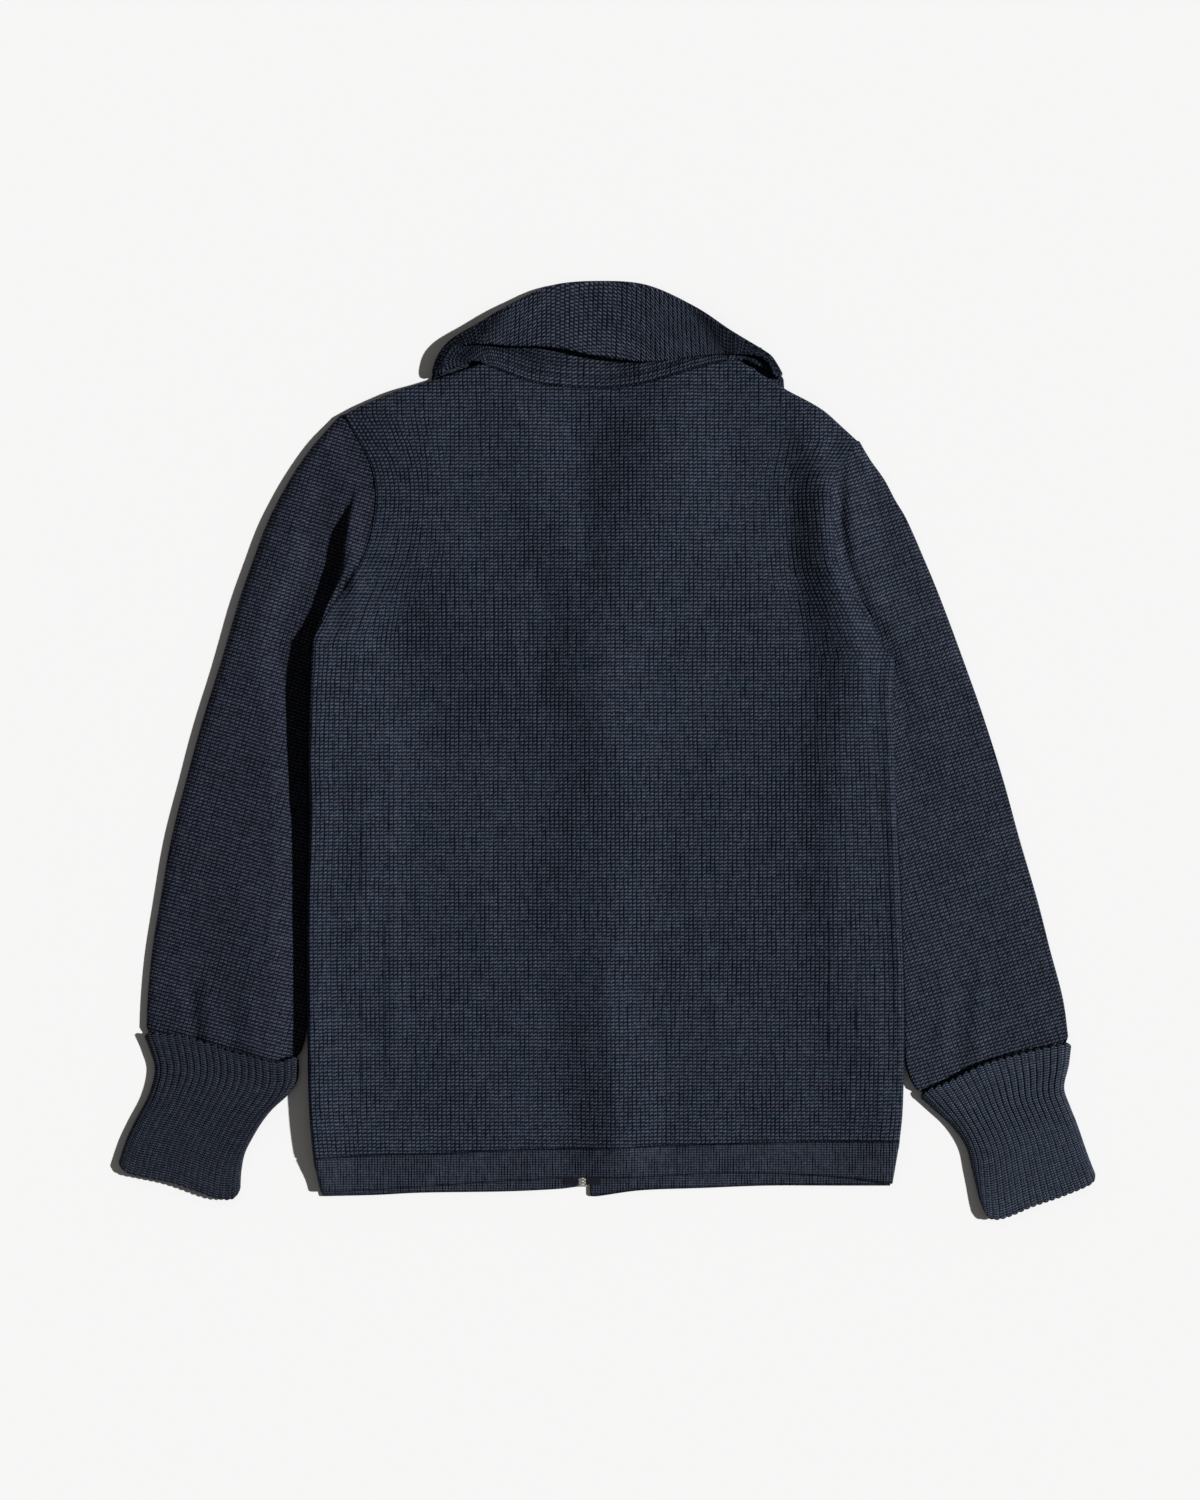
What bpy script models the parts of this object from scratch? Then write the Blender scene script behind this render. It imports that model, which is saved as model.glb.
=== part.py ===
"""Zip cardigan in heavy knit with a shawl collar, laid face down so that its back shows.

Metres, +Z up. The floor is z = 0, +X is the wearer's right side (the viewer's right),
+Y runs from hem to collar, and the origin lies under the middle of the laid-out garment.
The fronts lie on the floor, the back lies on them, and every piece of cloth is one wall.
"""

import math
from collections import namedtuple

import bmesh
import bpy
import numpy as np
from mathutils import Matrix

# ---- driving dimensions, in millimetres -------------------------------------------------
MM = 0.001
WALL = 4.0              # heavy rib-gauge knit, one layer
SEAM = 0.5              # gap between two pieces that are linked edge to edge
CURVED_SEAM = 1.2       # the same where both edges are cut on a tight curve
OPENING_SEAM = 1.6      # the same between a front and the collar
LAYER_GAP = 2.2         # air between the fronts and the back that lies on them
EDGE_GAP = 0.4          # the same at the side seams
RAMP_GAP = 0.3          # extra air where the back steps up over the collar
EDGE_DROP = 1.2         # how far a panel's outer face rounds down at its border
EDGE_INSET = 1.6
SMOOTH_STEPS = 12       # chords between two points of a curve
SIDE_ROLL = 16.0        # width over which the back settles to its side seam

FOLD_RADIUS = 2.4       # middle of the wall, where the collar turns over
LEAF_LIFT = WALL + 0.7  # the fronts stand this much higher where the collar lies under them
LEAF_MARGIN = 13.0
LEAF_RAMP = 32.0

SLEEVE_TOP = 10.6       # outer face of a sleeve's upper layer
SLEEVE_EDGE_HEIGHT = 4.6
SLEEVE_TOP_ROUND = 10.0
SLEEVE_FLOOR_ROUND = 5.0
SLEEVE_COLUMNS = (0, 0.03, 0.1, 0.22, 0.36, 0.5, 0.62, 0.71, 0.79, 0.86, 0.92, 0.965, 1)
OPENING_SPLIT = 5       # the armhole point, counted from the underarm, where the sleeve's opening ends
HOLLOW_INSET = WALL + 1.0
CUFF_HOLLOW_STEPS = 10

CUFF_TOP = 10.8
RIBS_ACROSS = 21
RIB_HEIGHT = 1.5

ZIP_X = -21.0
LEFT_FRONT_EDGE = -26.2
RIGHT_FRONT_EDGE = -14.5
CHAIN_WIDTH = 5.6
CHAIN_LOW, CHAIN_HIGH = 2.6, 4.9
CHAIN_TOP_Y, CHAIN_END_Y = 34.4, -362.0
TAPE_WIDTH = 13.0
TAPE_THICK = 0.4
TAPE_GAP = 0.3
ZIP_BOX = (7.4, 9.6, 2.8)
SLIDER = (8.6, 11.0, 2.6)
SLIDER_Y = 40.5
PIVOT_BELOW = 1.4       # the pull tab's pin, below the slider's outer plate
LUG = (1.1, 3.4, 2.9)
LUG_X = 2.15
TAB_TILT = 9.0          # degrees: the tab's tip hangs down to the floor
PIN_RADIUS, PIN_HOLE_RADIUS, PIN_LENGTH = 0.5, 0.75, 5.4
BARREL_RADIUS, BARREL_WIDTH = 1.0, 2.9
TAB = (4.6, 26.0, 1.2)
TAB_NECK = (2.6, 3.4, 1.2)
TAB_BELOW_PIN = 0.2

# ---- tables: points of the laid-out pieces, in millimetres --------------------------------
Point = namedtuple("Point", "x y")
Fold = namedtuple("Fold", "x0 y0 x1 y1 width height")
CollarRow = namedtuple("CollarRow", "seam_x seam_y roll_x roll_y roll_z edge_x edge_y edge_z turn")

LEFT_SIDE = [
    Point(-250, -347), Point(-254, -297), Point(-255, -212), Point(-255, -127),
    Point(-253, -59), Point(-254, -8), Point(-253, 43), Point(-251, 90),
]
LEFT_ARMHOLE = [
    Point(-251, 90), Point(-247, 103), Point(-234, 119), Point(-218, 137), Point(-209, 156),
    Point(-202, 177), Point(-199, 200), Point(-198, 220), Point(-202, 240), Point(-212, 261),
    Point(-225, 285),
]
LEFT_SHOULDER = [
    Point(-225, 285), Point(-207, 294), Point(-190, 301), Point(-171, 308), Point(-146, 315),
    Point(-108, 328),
]
NECK = [
    Point(-108, 328), Point(-98, 325), Point(-80, 318), Point(-62, 312), Point(-39, 309),
    Point(-16, 308), Point(6, 308), Point(29, 311), Point(52, 317), Point(75, 324),
    Point(94, 329), Point(111, 332),
]
RIGHT_SHOULDER = [
    Point(111, 332), Point(151, 307), Point(168, 298), Point(185, 288), Point(201, 274),
    Point(213, 263),
]
RIGHT_SIDE = [
    Point(249, -332), Point(252, -297), Point(253, -212), Point(250, -127), Point(246, -42),
    Point(243, 43), Point(245, 76),
]
RIGHT_ARMHOLE = [
    Point(245, 76), Point(237, 86), Point(228, 103), Point(218, 120), Point(207, 136),
    Point(198, 152), Point(194, 171), Point(192, 196), Point(190, 218), Point(194, 235),
    Point(204, 248), Point(213, 263),
]

HEM_TOP = [
    Point(-250, -347), Point(-191, -344), Point(-139, -343), Point(-88, -340),
    Point(-36, -339), Point(58, -336), Point(174, -333), Point(249, -332),
]
BACK_HEM_END = [
    Point(-244, -375), Point(-211, -374), Point(-139, -369), Point(-88, -365),
    Point(-27, -362), Point(38, -361), Point(97, -357), Point(156, -358), Point(204, -362),
    Point(243, -368),
]
LEFT_FRONT_HEM_END = [
    Point(-242, -380), Point(-198, -379), Point(-157, -377), Point(-88, -376),
    Point(-44, -374), Point(LEFT_FRONT_EDGE, -372),
]
RIGHT_FRONT_HEM_END = [
    Point(RIGHT_FRONT_EDGE, -379), Point(-8, -380), Point(29, -375), Point(82, -373),
    Point(136, -371), Point(194, -371), Point(241, -371),
]

LEFT_SLEEVE_OUTER = [
    Point(-226, 286), Point(-238, 273), Point(-254, 254), Point(-270, 230), Point(-288, 196),
    Point(-301, 162), Point(-313, 128), Point(-328, 77), Point(-344, 26), Point(-358, -25),
    Point(-371, -76), Point(-380, -127), Point(-387, -170), Point(-391, -212),
    Point(-392, -241),
]
LEFT_SLEEVE_INNER = [
    Point(-254, 88), Point(-260, 76), Point(-265, 60), Point(-269, 43), Point(-268, 17),
    Point(-265, -8), Point(-261, -42), Point(-259, -85), Point(-260, -127),
    Point(-262, -195), Point(-264, -258),
]
LEFT_SLEEVE_END = [
    Point(-392, -241), Point(-371, -242), Point(-354, -245), Point(-338, -250),
    Point(-320, -256), Point(-303, -260), Point(-290, -264), Point(-278, -265),
    Point(-264, -260),
]
LEFT_CUFF_OUTER = [
    Point(-394, -242), Point(-389, -256), Point(-385, -272), Point(-390, -293),
    Point(-401, -314), Point(-409, -331), Point(-416, -352),
]
LEFT_CUFF_INNER = [
    Point(-262, -262), Point(-263, -280), Point(-271, -293), Point(-284, -305),
    Point(-293, -316), Point(-301, -329), Point(-308, -343), Point(-311, -358),
    Point(-312, -374),
]
LEFT_CUFF_END = [
    Point(-416, -352), Point(-407, -360), Point(-390, -364), Point(-371, -368),
    Point(-355, -373), Point(-339, -379), Point(-327, -382), Point(-317, -381),
    Point(-312, -374),
]

RIGHT_SLEEVE_OUTER = [
    Point(214, 264), Point(224, 247), Point(236, 230), Point(245, 213), Point(255, 196),
    Point(270, 162), Point(284, 128), Point(303, 77), Point(321, 26), Point(337, -25),
    Point(351, -76), Point(366, -127), Point(377, -170), Point(388, -212),
    Point(393, -249),
]
RIGHT_SLEEVE_INNER = [
    Point(247, 74), Point(246, 43), Point(249, -42), Point(252, -127), Point(255, -212),
    Point(257, -258), Point(268, -291),
]
RIGHT_SLEEVE_END = [
    Point(393, -249), Point(377, -252), Point(359, -256), Point(340, -261),
    Point(317, -268), Point(290, -282), Point(268, -291),
]
RIGHT_CUFF_OUTER = [
    Point(395, -250), Point(393, -268), Point(389, -287), Point(394, -303),
    Point(400, -318), Point(409, -344), Point(416, -362),
]
RIGHT_CUFF_INNER = [
    Point(266, -295), Point(278, -306), Point(293, -320), Point(305, -337),
    Point(310, -355), Point(316, -380),
]
RIGHT_CUFF_END = [
    Point(416, -362), Point(411, -369), Point(388, -379), Point(362, -388),
    Point(343, -396), Point(331, -399), Point(323, -396), Point(316, -380),
]

# From the left front's point at the zip, round the back of the neck, to the right front's.
# turn is the way from the stand to the fall that covers it: 90 up, 0 outwards, -90 down.
COLLAR = [
    CollarRow(-33, 51, -27, 54, 4.6, -42, 47, 2.2, -90),
    CollarRow(-48, 88, -37, 92, 4.6, -79, 77, 2.2, -90),
    CollarRow(-79, 147, -61, 153, 4.6, -120, 133, 2.2, -90),
    CollarRow(-108, 224, -88, 228, 4.6, -152, 210, 2.2, -90),
    CollarRow(-113, 285, -93, 292, 4.6, -158, 272, 2.2, -90),
    CollarRow(-109, 316, -99, 334, 4.6, -152, 306, 2.2, -80),
    CollarRow(-102, 334, -121, 351, 8.8, -145, 327, 4.2, 0),
    CollarRow(-97, 326.5, -112, 361, 12.5, -131, 345, 16.5, 80),
    CollarRow(-80, 319.5, -85, 375, 10.5, -95, 343, 18.0, 90),
    CollarRow(-52, 312, -50, 388, 7.0, -48, 342, 16.5, 90),
    CollarRow(-4, 309.3, -6, 394.6, 4.9, -6, 334, 15.0, 90),
    CollarRow(40, 315.3, 44, 389, 6.5, 44, 330, 16.5, 90),
    CollarRow(75, 325.6, 84, 371, 9.5, 80, 334, 18.0, 90),
    CollarRow(97, 331.5, 112, 352, 12.0, 108, 334, 18.5, 80),
    CollarRow(105, 341, 135, 346, 7.0, 147, 324, 2.9, -6),
    CollarRow(105, 318, 98, 334, 4.5, 150, 299, 2.1, -86),
    CollarRow(100, 285, 80, 291, 4.6, 146, 268, 2.2, -90),
    CollarRow(72, 224, 52, 228, 4.6, 120, 206, 2.2, -90),
    CollarRow(38, 147, 20, 153, 4.6, 80, 130, 2.2, -90),
    CollarRow(6, 88, -6, 92, 4.6, 36, 77, 2.2, -90),
    CollarRow(-9, 51, -15, 54, 4.6, 1, 47, 2.2, -90),
]

BACK_FOLDS = [
    Fold(-184, 220, -184, -340, 44, 1.5),
    Fold(-150, 240, -120, 120, 36, 0.9),
    Fold(20, 281, 3, 145, 26, -0.9),
    Fold(3, 145, -31, 77, 26, -0.6),
    Fold(-99, 247, -31, 94, 26, -0.8),
    Fold(-27, 60, -22, 20, 30, -0.3),
    Fold(-8, -170, -2, -345, 20, -0.5),
    Fold(26, -120, 26, -340, 40, 1.0),
    Fold(147, 247, 172, 136, 30, -0.9),
    Fold(168, 40, 168, -180, 36, -0.8),
    Fold(110, 200, 110, -250, 60, 0.9),
    Fold(226, 90, 232, -290, 30, 0.8),
]
LEFT_SLEEVE_FOLDS = [
    Fold(-216, 206, -228, 176, 20, -1.9),
    Fold(-228, 176, -238, 153, 18, -2.1),
    Fold(-238, 153, -252, 110, 16, -2.1),
    Fold(-208, 190, -224, 152, 12, 1.0),
    Fold(-241, 219, -254, 180, 30, -1.2),
    Fold(-262, 235, -300, 120, 34, 1.0),
    Fold(-335, -36, -275, -44, 22, -1.3),
    Fold(-330, -5, -285, -12, 34, 0.9),
    Fold(-352, -215, -345, -244, 26, -1.4),
    Fold(-300, -120, -295, -240, 40, 0.9),
]
RIGHT_SLEEVE_FOLDS = [
    Fold(197, 222, 199, 170, 26, 1.2),
    Fold(224, 220, 232, 140, 34, -1.2),
    Fold(262, 180, 292, 70, 36, 1.0),
    Fold(268, 110, 262, -40, 34, -1.1),
    Fold(330, -60, 290, -120, 36, 0.9),
    Fold(345, -110, 300, -190, 34, -1.0),
    Fold(370, -190, 330, -250, 30, 0.8),
]


# ---- curves, patches and heights ----------------------------------------------------------
def smooth(points, steps=SMOOTH_STEPS):
    """A smooth curve through the points, as short chords."""
    rows = np.array(points, float)
    ends = np.vstack([2 * rows[0] - rows[1], rows, 2 * rows[-1] - rows[-2]])
    made = []
    for a, b, c, d in zip(ends, ends[1:], ends[2:], ends[3:]):
        for t in np.arange(steps) / steps:
            bend = (2 * a - 5 * b + 4 * c - d) * t**2 + (3 * b - a - 3 * c + d) * t**3
            made.append(b + 0.5 * ((c - a) * t + bend))
    return np.array(made + [rows[-1]])


def joined(*parts):
    """Smooth curves end to end, with a corner where one stops and the next starts."""
    curves = [smooth(part) for part in parts]
    return np.vstack([curves[0]] + [curve[1:] for curve in curves[1:]])


def at_fractions(path, fractions):
    run = np.concatenate([[0], np.cumsum(np.linalg.norm(np.diff(path, axis=0), axis=1))])
    places = np.asarray(fractions) * run[-1]
    return np.column_stack([np.interp(places, run, column) for column in path.T])


def with_edges(count, length):
    """count steps from 0 to 1, with one narrow step at each end for the rounded border."""
    edge = EDGE_INSET / length
    return np.concatenate([[0], np.linspace(edge, 1 - edge, count - 1), [1]])


def patch(bottom, top, left, right, across, up):
    """Plan points [row][column] inside four border curves (a Coons patch)."""
    low, high = at_fractions(bottom, across), at_fractions(top, across)
    west, east = at_fractions(left, up), at_fractions(right, up)
    u = np.asarray(across)[None, :, None]
    v = np.asarray(up)[:, None, None]
    ruled = (1 - v) * low[None] + v * high[None] + (1 - u) * west[:, None] + u * east[:, None]
    corners = (1 - v) * ((1 - u) * low[0] + u * low[-1]) + v * ((1 - u) * high[0] + u * high[-1])
    return ruled - corners


def ease(t):
    t = np.clip(t, 0, 1)
    return t * t * (3 - 2 * t)


def distance_to_path(x, y, path):
    """How far the plan point is from a chain of points."""
    ax, ay = path[:-1, 0], path[:-1, 1]
    dx, dy = np.diff(path[:, 0]), np.diff(path[:, 1])
    t = np.clip(((x - ax) * dx + (y - ay) * dy) / (dx * dx + dy * dy), 0, 1)
    return np.hypot(x - ax - t * dx, y - ay - t * dy).min()


def inside(x, y, ring):
    a, b = ring, np.roll(ring, -1, axis=0)
    spans = (a[:, 1] > y) != (b[:, 1] > y)
    crossing = a[:, 0] + (y - a[:, 1]) * (b[:, 0] - a[:, 0]) / (b[:, 1] - a[:, 1] + 1e-9)
    return bool((spans & (x < crossing)).sum() % 2)


def leaf_outline(rows):
    edge = smooth([(row.edge_x, row.edge_y) for row in rows], 4)
    roll = smooth([(row.roll_x, row.roll_y) for row in rows], 4)
    return np.vstack([edge, roll[::-1]])


LEAVES = [leaf_outline(COLLAR[:6]), leaf_outline(COLLAR[-6:])]


def leaf_share(x, y):
    """1 over the half of the collar that lies under a front, falling to 0 beyond it."""
    share = 0.0
    for ring in LEAVES:
        if inside(x, y, ring):
            return 1.0
        away = distance_to_path(x, y, np.vstack([ring, ring[:1]]))
        share = max(share, 1 - ease((away - LEAF_MARGIN) / LEAF_RAMP))
    return share


def relief(x, y, folds):
    total = 0.0
    for fold in folds:
        ends = np.array([[fold.x0, fold.y0], [fold.x1, fold.y1]], float)
        away = distance_to_path(x, y, ends)
        total += fold.height * math.exp(-((2 * away / fold.width) ** 2))
    return total


LEFT_BORDER = joined(LEFT_SIDE, LEFT_ARMHOLE)
RIGHT_BORDER = joined(RIGHT_SIDE, RIGHT_ARMHOLE)


def side_share(x, y):
    """0 at the side seams and armholes, 1 once clear of them."""
    left = np.interp(y, LEFT_BORDER[:, 1], LEFT_BORDER[:, 0])
    right = np.interp(y, RIGHT_BORDER[:, 1], RIGHT_BORDER[:, 0])
    return float(ease(min(x - left, right - x) / SIDE_ROLL))


def front_low(x, y):
    return LEAF_LIFT * leaf_share(x, y)


def back_low(x, y):
    share = leaf_share(x, y)
    air = LAYER_GAP + RAMP_GAP * 4 * share * (1 - share) + relief(x, y, BACK_FOLDS)
    return WALL + LEAF_LIFT * share + EDGE_GAP + (air - EDGE_GAP) * side_share(x, y)


# ---- meshes ---------------------------------------------------------------------------------
def material(name, colour, roughness, metallic=0.0):
    made = bpy.data.materials.new(name)
    made.use_nodes = True
    surface = made.node_tree.nodes["Principled BSDF"]
    surface.inputs["Base Color"].default_value = (*colour, 1)
    surface.inputs["Roughness"].default_value = roughness
    surface.inputs["Metallic"].default_value = metallic
    return made


def finish(name, bm, finish_material, smooth_angle=40):
    bmesh.ops.recalc_face_normals(bm, faces=bm.faces)
    mesh = bpy.data.meshes.new(name)
    bm.to_mesh(mesh)
    bm.free()
    mesh.shade_smooth()
    mesh.set_sharp_from_angle(angle=math.radians(smooth_angle))
    mesh.materials.append(finish_material)
    made = bpy.data.objects.new(name, mesh)
    bpy.context.collection.objects.link(made)
    return made


def add_grid(bm, points):
    """Vertices and faces of a grid of points, given in millimetres; returns the vertices."""
    rows = [[bm.verts.new([MM * value for value in point]) for point in row] for row in points]
    for row, after in zip(rows, rows[1:]):
        for a, b, c, d in zip(row, row[1:], after[1:], after):
            bm.faces.new((a, b, c, d))
    return rows


def rim(rows):
    """The border vertices of a grid, once round."""
    right = [row[-1] for row in rows[1:]]
    left = [row[0] for row in rows[-2:0:-1]]
    return rows[0] + right + rows[-1][-2::-1] + left


def two_sided(name, above, below, finish_material):
    """A wall between two grids of points that have the same rows and columns."""
    bm = bmesh.new()
    rim_a, rim_b = rim(add_grid(bm, above)), rim(add_grid(bm, below))
    for i, (a, b) in enumerate(zip(rim_a, rim_b)):
        bm.faces.new((a, b, rim_b[i - 1], rim_a[i - 1]))
    return finish(name, bm, finish_material)


def panel(name, plan, low, finish_material, outer_up=True):
    """A flat-lying wall over plan points; its outer face rounds off along the border."""
    heights = np.array([[low(x, y) for x, y in row] for row in plan])
    border = np.ones(heights.shape, bool)
    border[1:-1, 1:-1] = False
    drop = np.where(border, EDGE_DROP, 0.0)
    above = heights + WALL - (drop if outer_up else 0)
    below = heights + (0 if outer_up else drop)
    return two_sided(
        name, np.dstack([plan, above]), np.dstack([plan, below]), finish_material
    )


def close_end(bm, outer, outer_at, inner, inner_at):
    """Triangles between two rings of vertices, taken in step by how far round each one is."""
    i = j = 0
    while i < len(outer) or j < len(inner):
        next_outer = outer_at[i + 1] if i < len(outer) else 9
        next_inner = inner_at[j + 1] if j < len(inner) else 9
        a, b = outer[i % len(outer)], inner[j % len(inner)]
        if next_outer <= next_inner:
            i += 1
            bm.faces.new((a, outer[i % len(outer)], b))
        else:
            j += 1
            bm.faces.new((a, inner[j % len(inner)], b))


def tube(name, outer, outer_at, inner, inner_at, finish_material):
    """A flattened tube from rings of points, open at both ends; the inner rings may be coarser."""
    bm = bmesh.new()
    sides = []
    for rings in (outer, inner):
        rows = [[bm.verts.new([MM * value for value in point]) for point in ring] for ring in rings]
        for row, after in zip(rows, rows[1:]):
            for i in range(len(row)):
                bm.faces.new((row[i - 1], row[i], after[i], after[i - 1]))
        sides.append(rows)
    for end in (0, -1):
        close_end(bm, sides[0][end], outer_at, sides[1][end], inner_at)
    return finish(name, bm, finish_material)


# ---- body: back, fronts and their hem bands -----------------------------------------------
def build_body(knit, band):
    """Returns the heights along Y at which each front's rows meet the zip."""
    zip_rows = []
    top = joined(LEFT_SHOULDER, NECK, RIGHT_SHOULDER)
    across = with_edges(27, 500)
    edge = EDGE_INSET / 700
    up = np.concatenate([[0, edge], np.linspace(0.08, 0.48, 6), np.linspace(0.52, 1 - edge, 19), [1]])
    plan = patch(smooth(HEM_TOP), top, LEFT_BORDER, RIGHT_BORDER, across, up)
    panel("back", plan, back_low, knit)

    down = with_edges(4, 30)
    band_top = smooth(HEM_TOP) - [0, SEAM]
    west = np.array([band_top[0], BACK_HEM_END[0]])
    east = np.array([band_top[-1], BACK_HEM_END[-1]])
    plan = patch(band_top, smooth(BACK_HEM_END), west, east, with_edges(24, 500), down)
    panel("hem_back", plan, back_low, band)

    sides = (
        ("left", LEFT_SIDE, LEFT_ARMHOLE, LEFT_SHOULDER, COLLAR[:6], LEFT_FRONT_EDGE, -1),
        ("right", RIGHT_SIDE, RIGHT_ARMHOLE, RIGHT_SHOULDER[::-1], COLLAR[:-7:-1], RIGHT_FRONT_EDGE, 1),
    )
    for side, seam, armhole, shoulder, rows, edge_x, out in sides:
        band_y = seam[0].y - 4
        start = Point(seam[0].x, band_y)
        outer = joined([start, *seam[1:]], armhole)
        opening = [Point(row.seam_x + out * OPENING_SEAM, row.seam_y) for row in rows]
        neck_point = Point(shoulder[-1].x + out * OPENING_SEAM, shoulder[-1].y - 1)
        shoulder = [*shoulder[:-1], neck_point]
        centre = [Point(edge_x, band_y), Point(edge_x, -150), Point(edge_x, 0), Point(edge_x, 40)]
        inner = joined(centre, [centre[-1], *opening, neck_point])
        bottom = np.array([start, centre[0]], float)
        columns = with_edges(12, 220)
        plan = patch(bottom, smooth(shoulder), outer, inner, columns, up)
        panel(f"front_{side}", plan, front_low, knit, outer_up=False)
        low, high = band_y + 2 * EDGE_INSET, CHAIN_TOP_Y
        zip_rows.append([y for x, y in at_fractions(inner, up) if low < y < high])

        end = LEFT_FRONT_HEM_END if out < 0 else RIGHT_FRONT_HEM_END[::-1]
        band_start = bottom - [0, SEAM]
        west = np.array([band_start[0], end[0]])
        east = np.array([band_start[-1], end[-1]])
        plan = patch(band_start, smooth(end), west, east, with_edges(12, 220), down)
        panel(f"hem_front_{side}", plan, front_low, band, outer_up=False)
    return zip_rows


# ---- sleeves ----------------------------------------------------------------------------------
def flat_tube(name, plan, top_height, finish_material, rib=False):
    """A tube pressed flat on the floor, with a pair of rings for each row of the plan.

    Each ring goes over the top from one fold to the other (0 to 1 round it), then back
    along the floor (1 to 2).
    """
    outer, inner = [], []
    even = np.linspace(0, 1, CUFF_HOLLOW_STEPS + 1)
    for row in plan:
        run = np.concatenate([[0], np.cumsum(np.linalg.norm(np.diff(row, axis=0), axis=1))])
        width = run[-1]
        top_at = np.linspace(0, 1, 4 * RIBS_ACROSS + 1) if rib else run / width
        hollow_at = even if rib else top_at

        def place(share, inset):
            distance = inset + (width - 2 * inset) * share
            return [np.interp(distance, run, row[:, 0]), np.interp(distance, run, row[:, 1])]

        def upper(share, inset):
            distance = inset + (width - 2 * inset) * share
            depth = np.clip(min(distance, width - distance) / SLEEVE_TOP_ROUND, 0, 1)
            crown = math.sqrt(1 - (1 - depth) ** 2)
            top = top_height(*place(share, inset))
            return SLEEVE_EDGE_HEIGHT + (top - SLEEVE_EDGE_HEIGHT) * crown

        ring = []
        for i, share in enumerate(top_at):
            lift = rib_lift(i, width * share, width) if rib else 0.0
            ring.append([*place(share, 0), upper(share, 0) + lift])
        ring += [[*place(share, SLEEVE_FLOOR_ROUND), 0.0] for share in hollow_at[-2:0:-1]]
        outer.append(ring)

        ring = [[*place(share, HOLLOW_INSET), upper(share, HOLLOW_INSET) - WALL] for share in hollow_at]
        ring[0][2] = ring[-1][2] = WALL + 0.25
        ring += [[*place(share, HOLLOW_INSET), WALL] for share in hollow_at[-2:0:-1]]
        inner.append(ring)
    back_at = 2 - hollow_at[-2:0:-1]
    outer_at = [*top_at, *back_at, 2]
    inner_at = [*hollow_at, *back_at, 2]
    return tube(name, outer, outer_at, inner, inner_at, finish_material)


def offset_path(path, distance):
    """The path moved sideways, to its left for a positive distance."""
    along = np.gradient(path, axis=0)
    along /= np.linalg.norm(along, axis=1)[:, None]
    return path + distance * np.column_stack([-along[:, 1], along[:, 0]])


def sleeve_plan(armhole, outer, inner, end, side, rows):
    """Plan rows from the armhole to the cuff; each runs from the outer fold to the inner one.

    The sleeve opens along the upper armhole, and its lower edge there is its inner fold.
    """
    edge = offset_path(smooth(armhole)[::-1], side * CURVED_SEAM)
    corner = SMOOTH_STEPS * (len(armhole) - 1 - OPENING_SPLIT)
    start = np.vstack([[outer[0]], edge[2 : corner + 1]])
    fold = np.vstack([edge[corner:-3], smooth(inner)])
    return patch(start, smooth(end), smooth(outer), fold, SLEEVE_COLUMNS, rows)


def sleeve_height(folds):
    def height(x, y):
        return SLEEVE_TOP + relief(x, y, folds)

    return height


def build_sleeves(knit):
    rows = np.concatenate([[0, 0.02, 0.05], np.linspace(0.09, 0.3, 5), np.linspace(0.38, 1, 7)])
    left = (LEFT_ARMHOLE, LEFT_SLEEVE_OUTER, LEFT_SLEEVE_INNER, LEFT_SLEEVE_END, -1)
    right = (RIGHT_ARMHOLE, RIGHT_SLEEVE_OUTER, RIGHT_SLEEVE_INNER, RIGHT_SLEEVE_END, 1)
    for side, borders, folds in (
        ("left", left, LEFT_SLEEVE_FOLDS),
        ("right", right, RIGHT_SLEEVE_FOLDS),
    ):
        plan = sleeve_plan(*borders, rows)
        flat_tube(f"sleeve_{side}", plan, sleeve_height(folds), knit)


# ---- ribbed cuffs -------------------------------------------------------------------------------
def rib_lift(index, distance, width):
    """How far a rib stands out of the cuff at this place; ribs fade out at the two folds."""
    crest = (0.0, 0.85, 1.0, 0.85)[index % 4]
    fade = ease(min(distance, width - distance) / 6)
    return RIB_HEIGHT * crest * fade


def cuff_height(start_y):
    def height(x, y):
        flare = 2.2 * math.exp(-max(0.0, start_y(x) - y) / 9)
        return CUFF_TOP - RIB_HEIGHT + flare

    return height


def build_cuffs(ribbed):
    rows = [0, 0.06, 0.2, 0.4, 0.65, 0.9, 1]
    table = (
        ("left", LEFT_SLEEVE_END, LEFT_CUFF_OUTER, LEFT_CUFF_INNER, LEFT_CUFF_END),
        ("right", RIGHT_SLEEVE_END, RIGHT_CUFF_OUTER, RIGHT_CUFF_INNER, RIGHT_CUFF_END),
    )
    for side, top, outer, inner, end in table:
        hem = smooth(top) - [0, 1.5]
        start = np.vstack([[outer[0]], hem[2:-2], [inner[0]]])
        ordered = start[np.argsort(start[:, 0])]

        def start_y(x, ordered=ordered):
            return np.interp(x, ordered[:, 0], ordered[:, 1])

        across = np.linspace(0, 1, 33)
        plan = patch(start, smooth(end), smooth(outer), smooth(inner), across, rows)
        flat_tube(f"cuff_{side}", plan, cuff_height(start_y), ribbed, rib=True)


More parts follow.
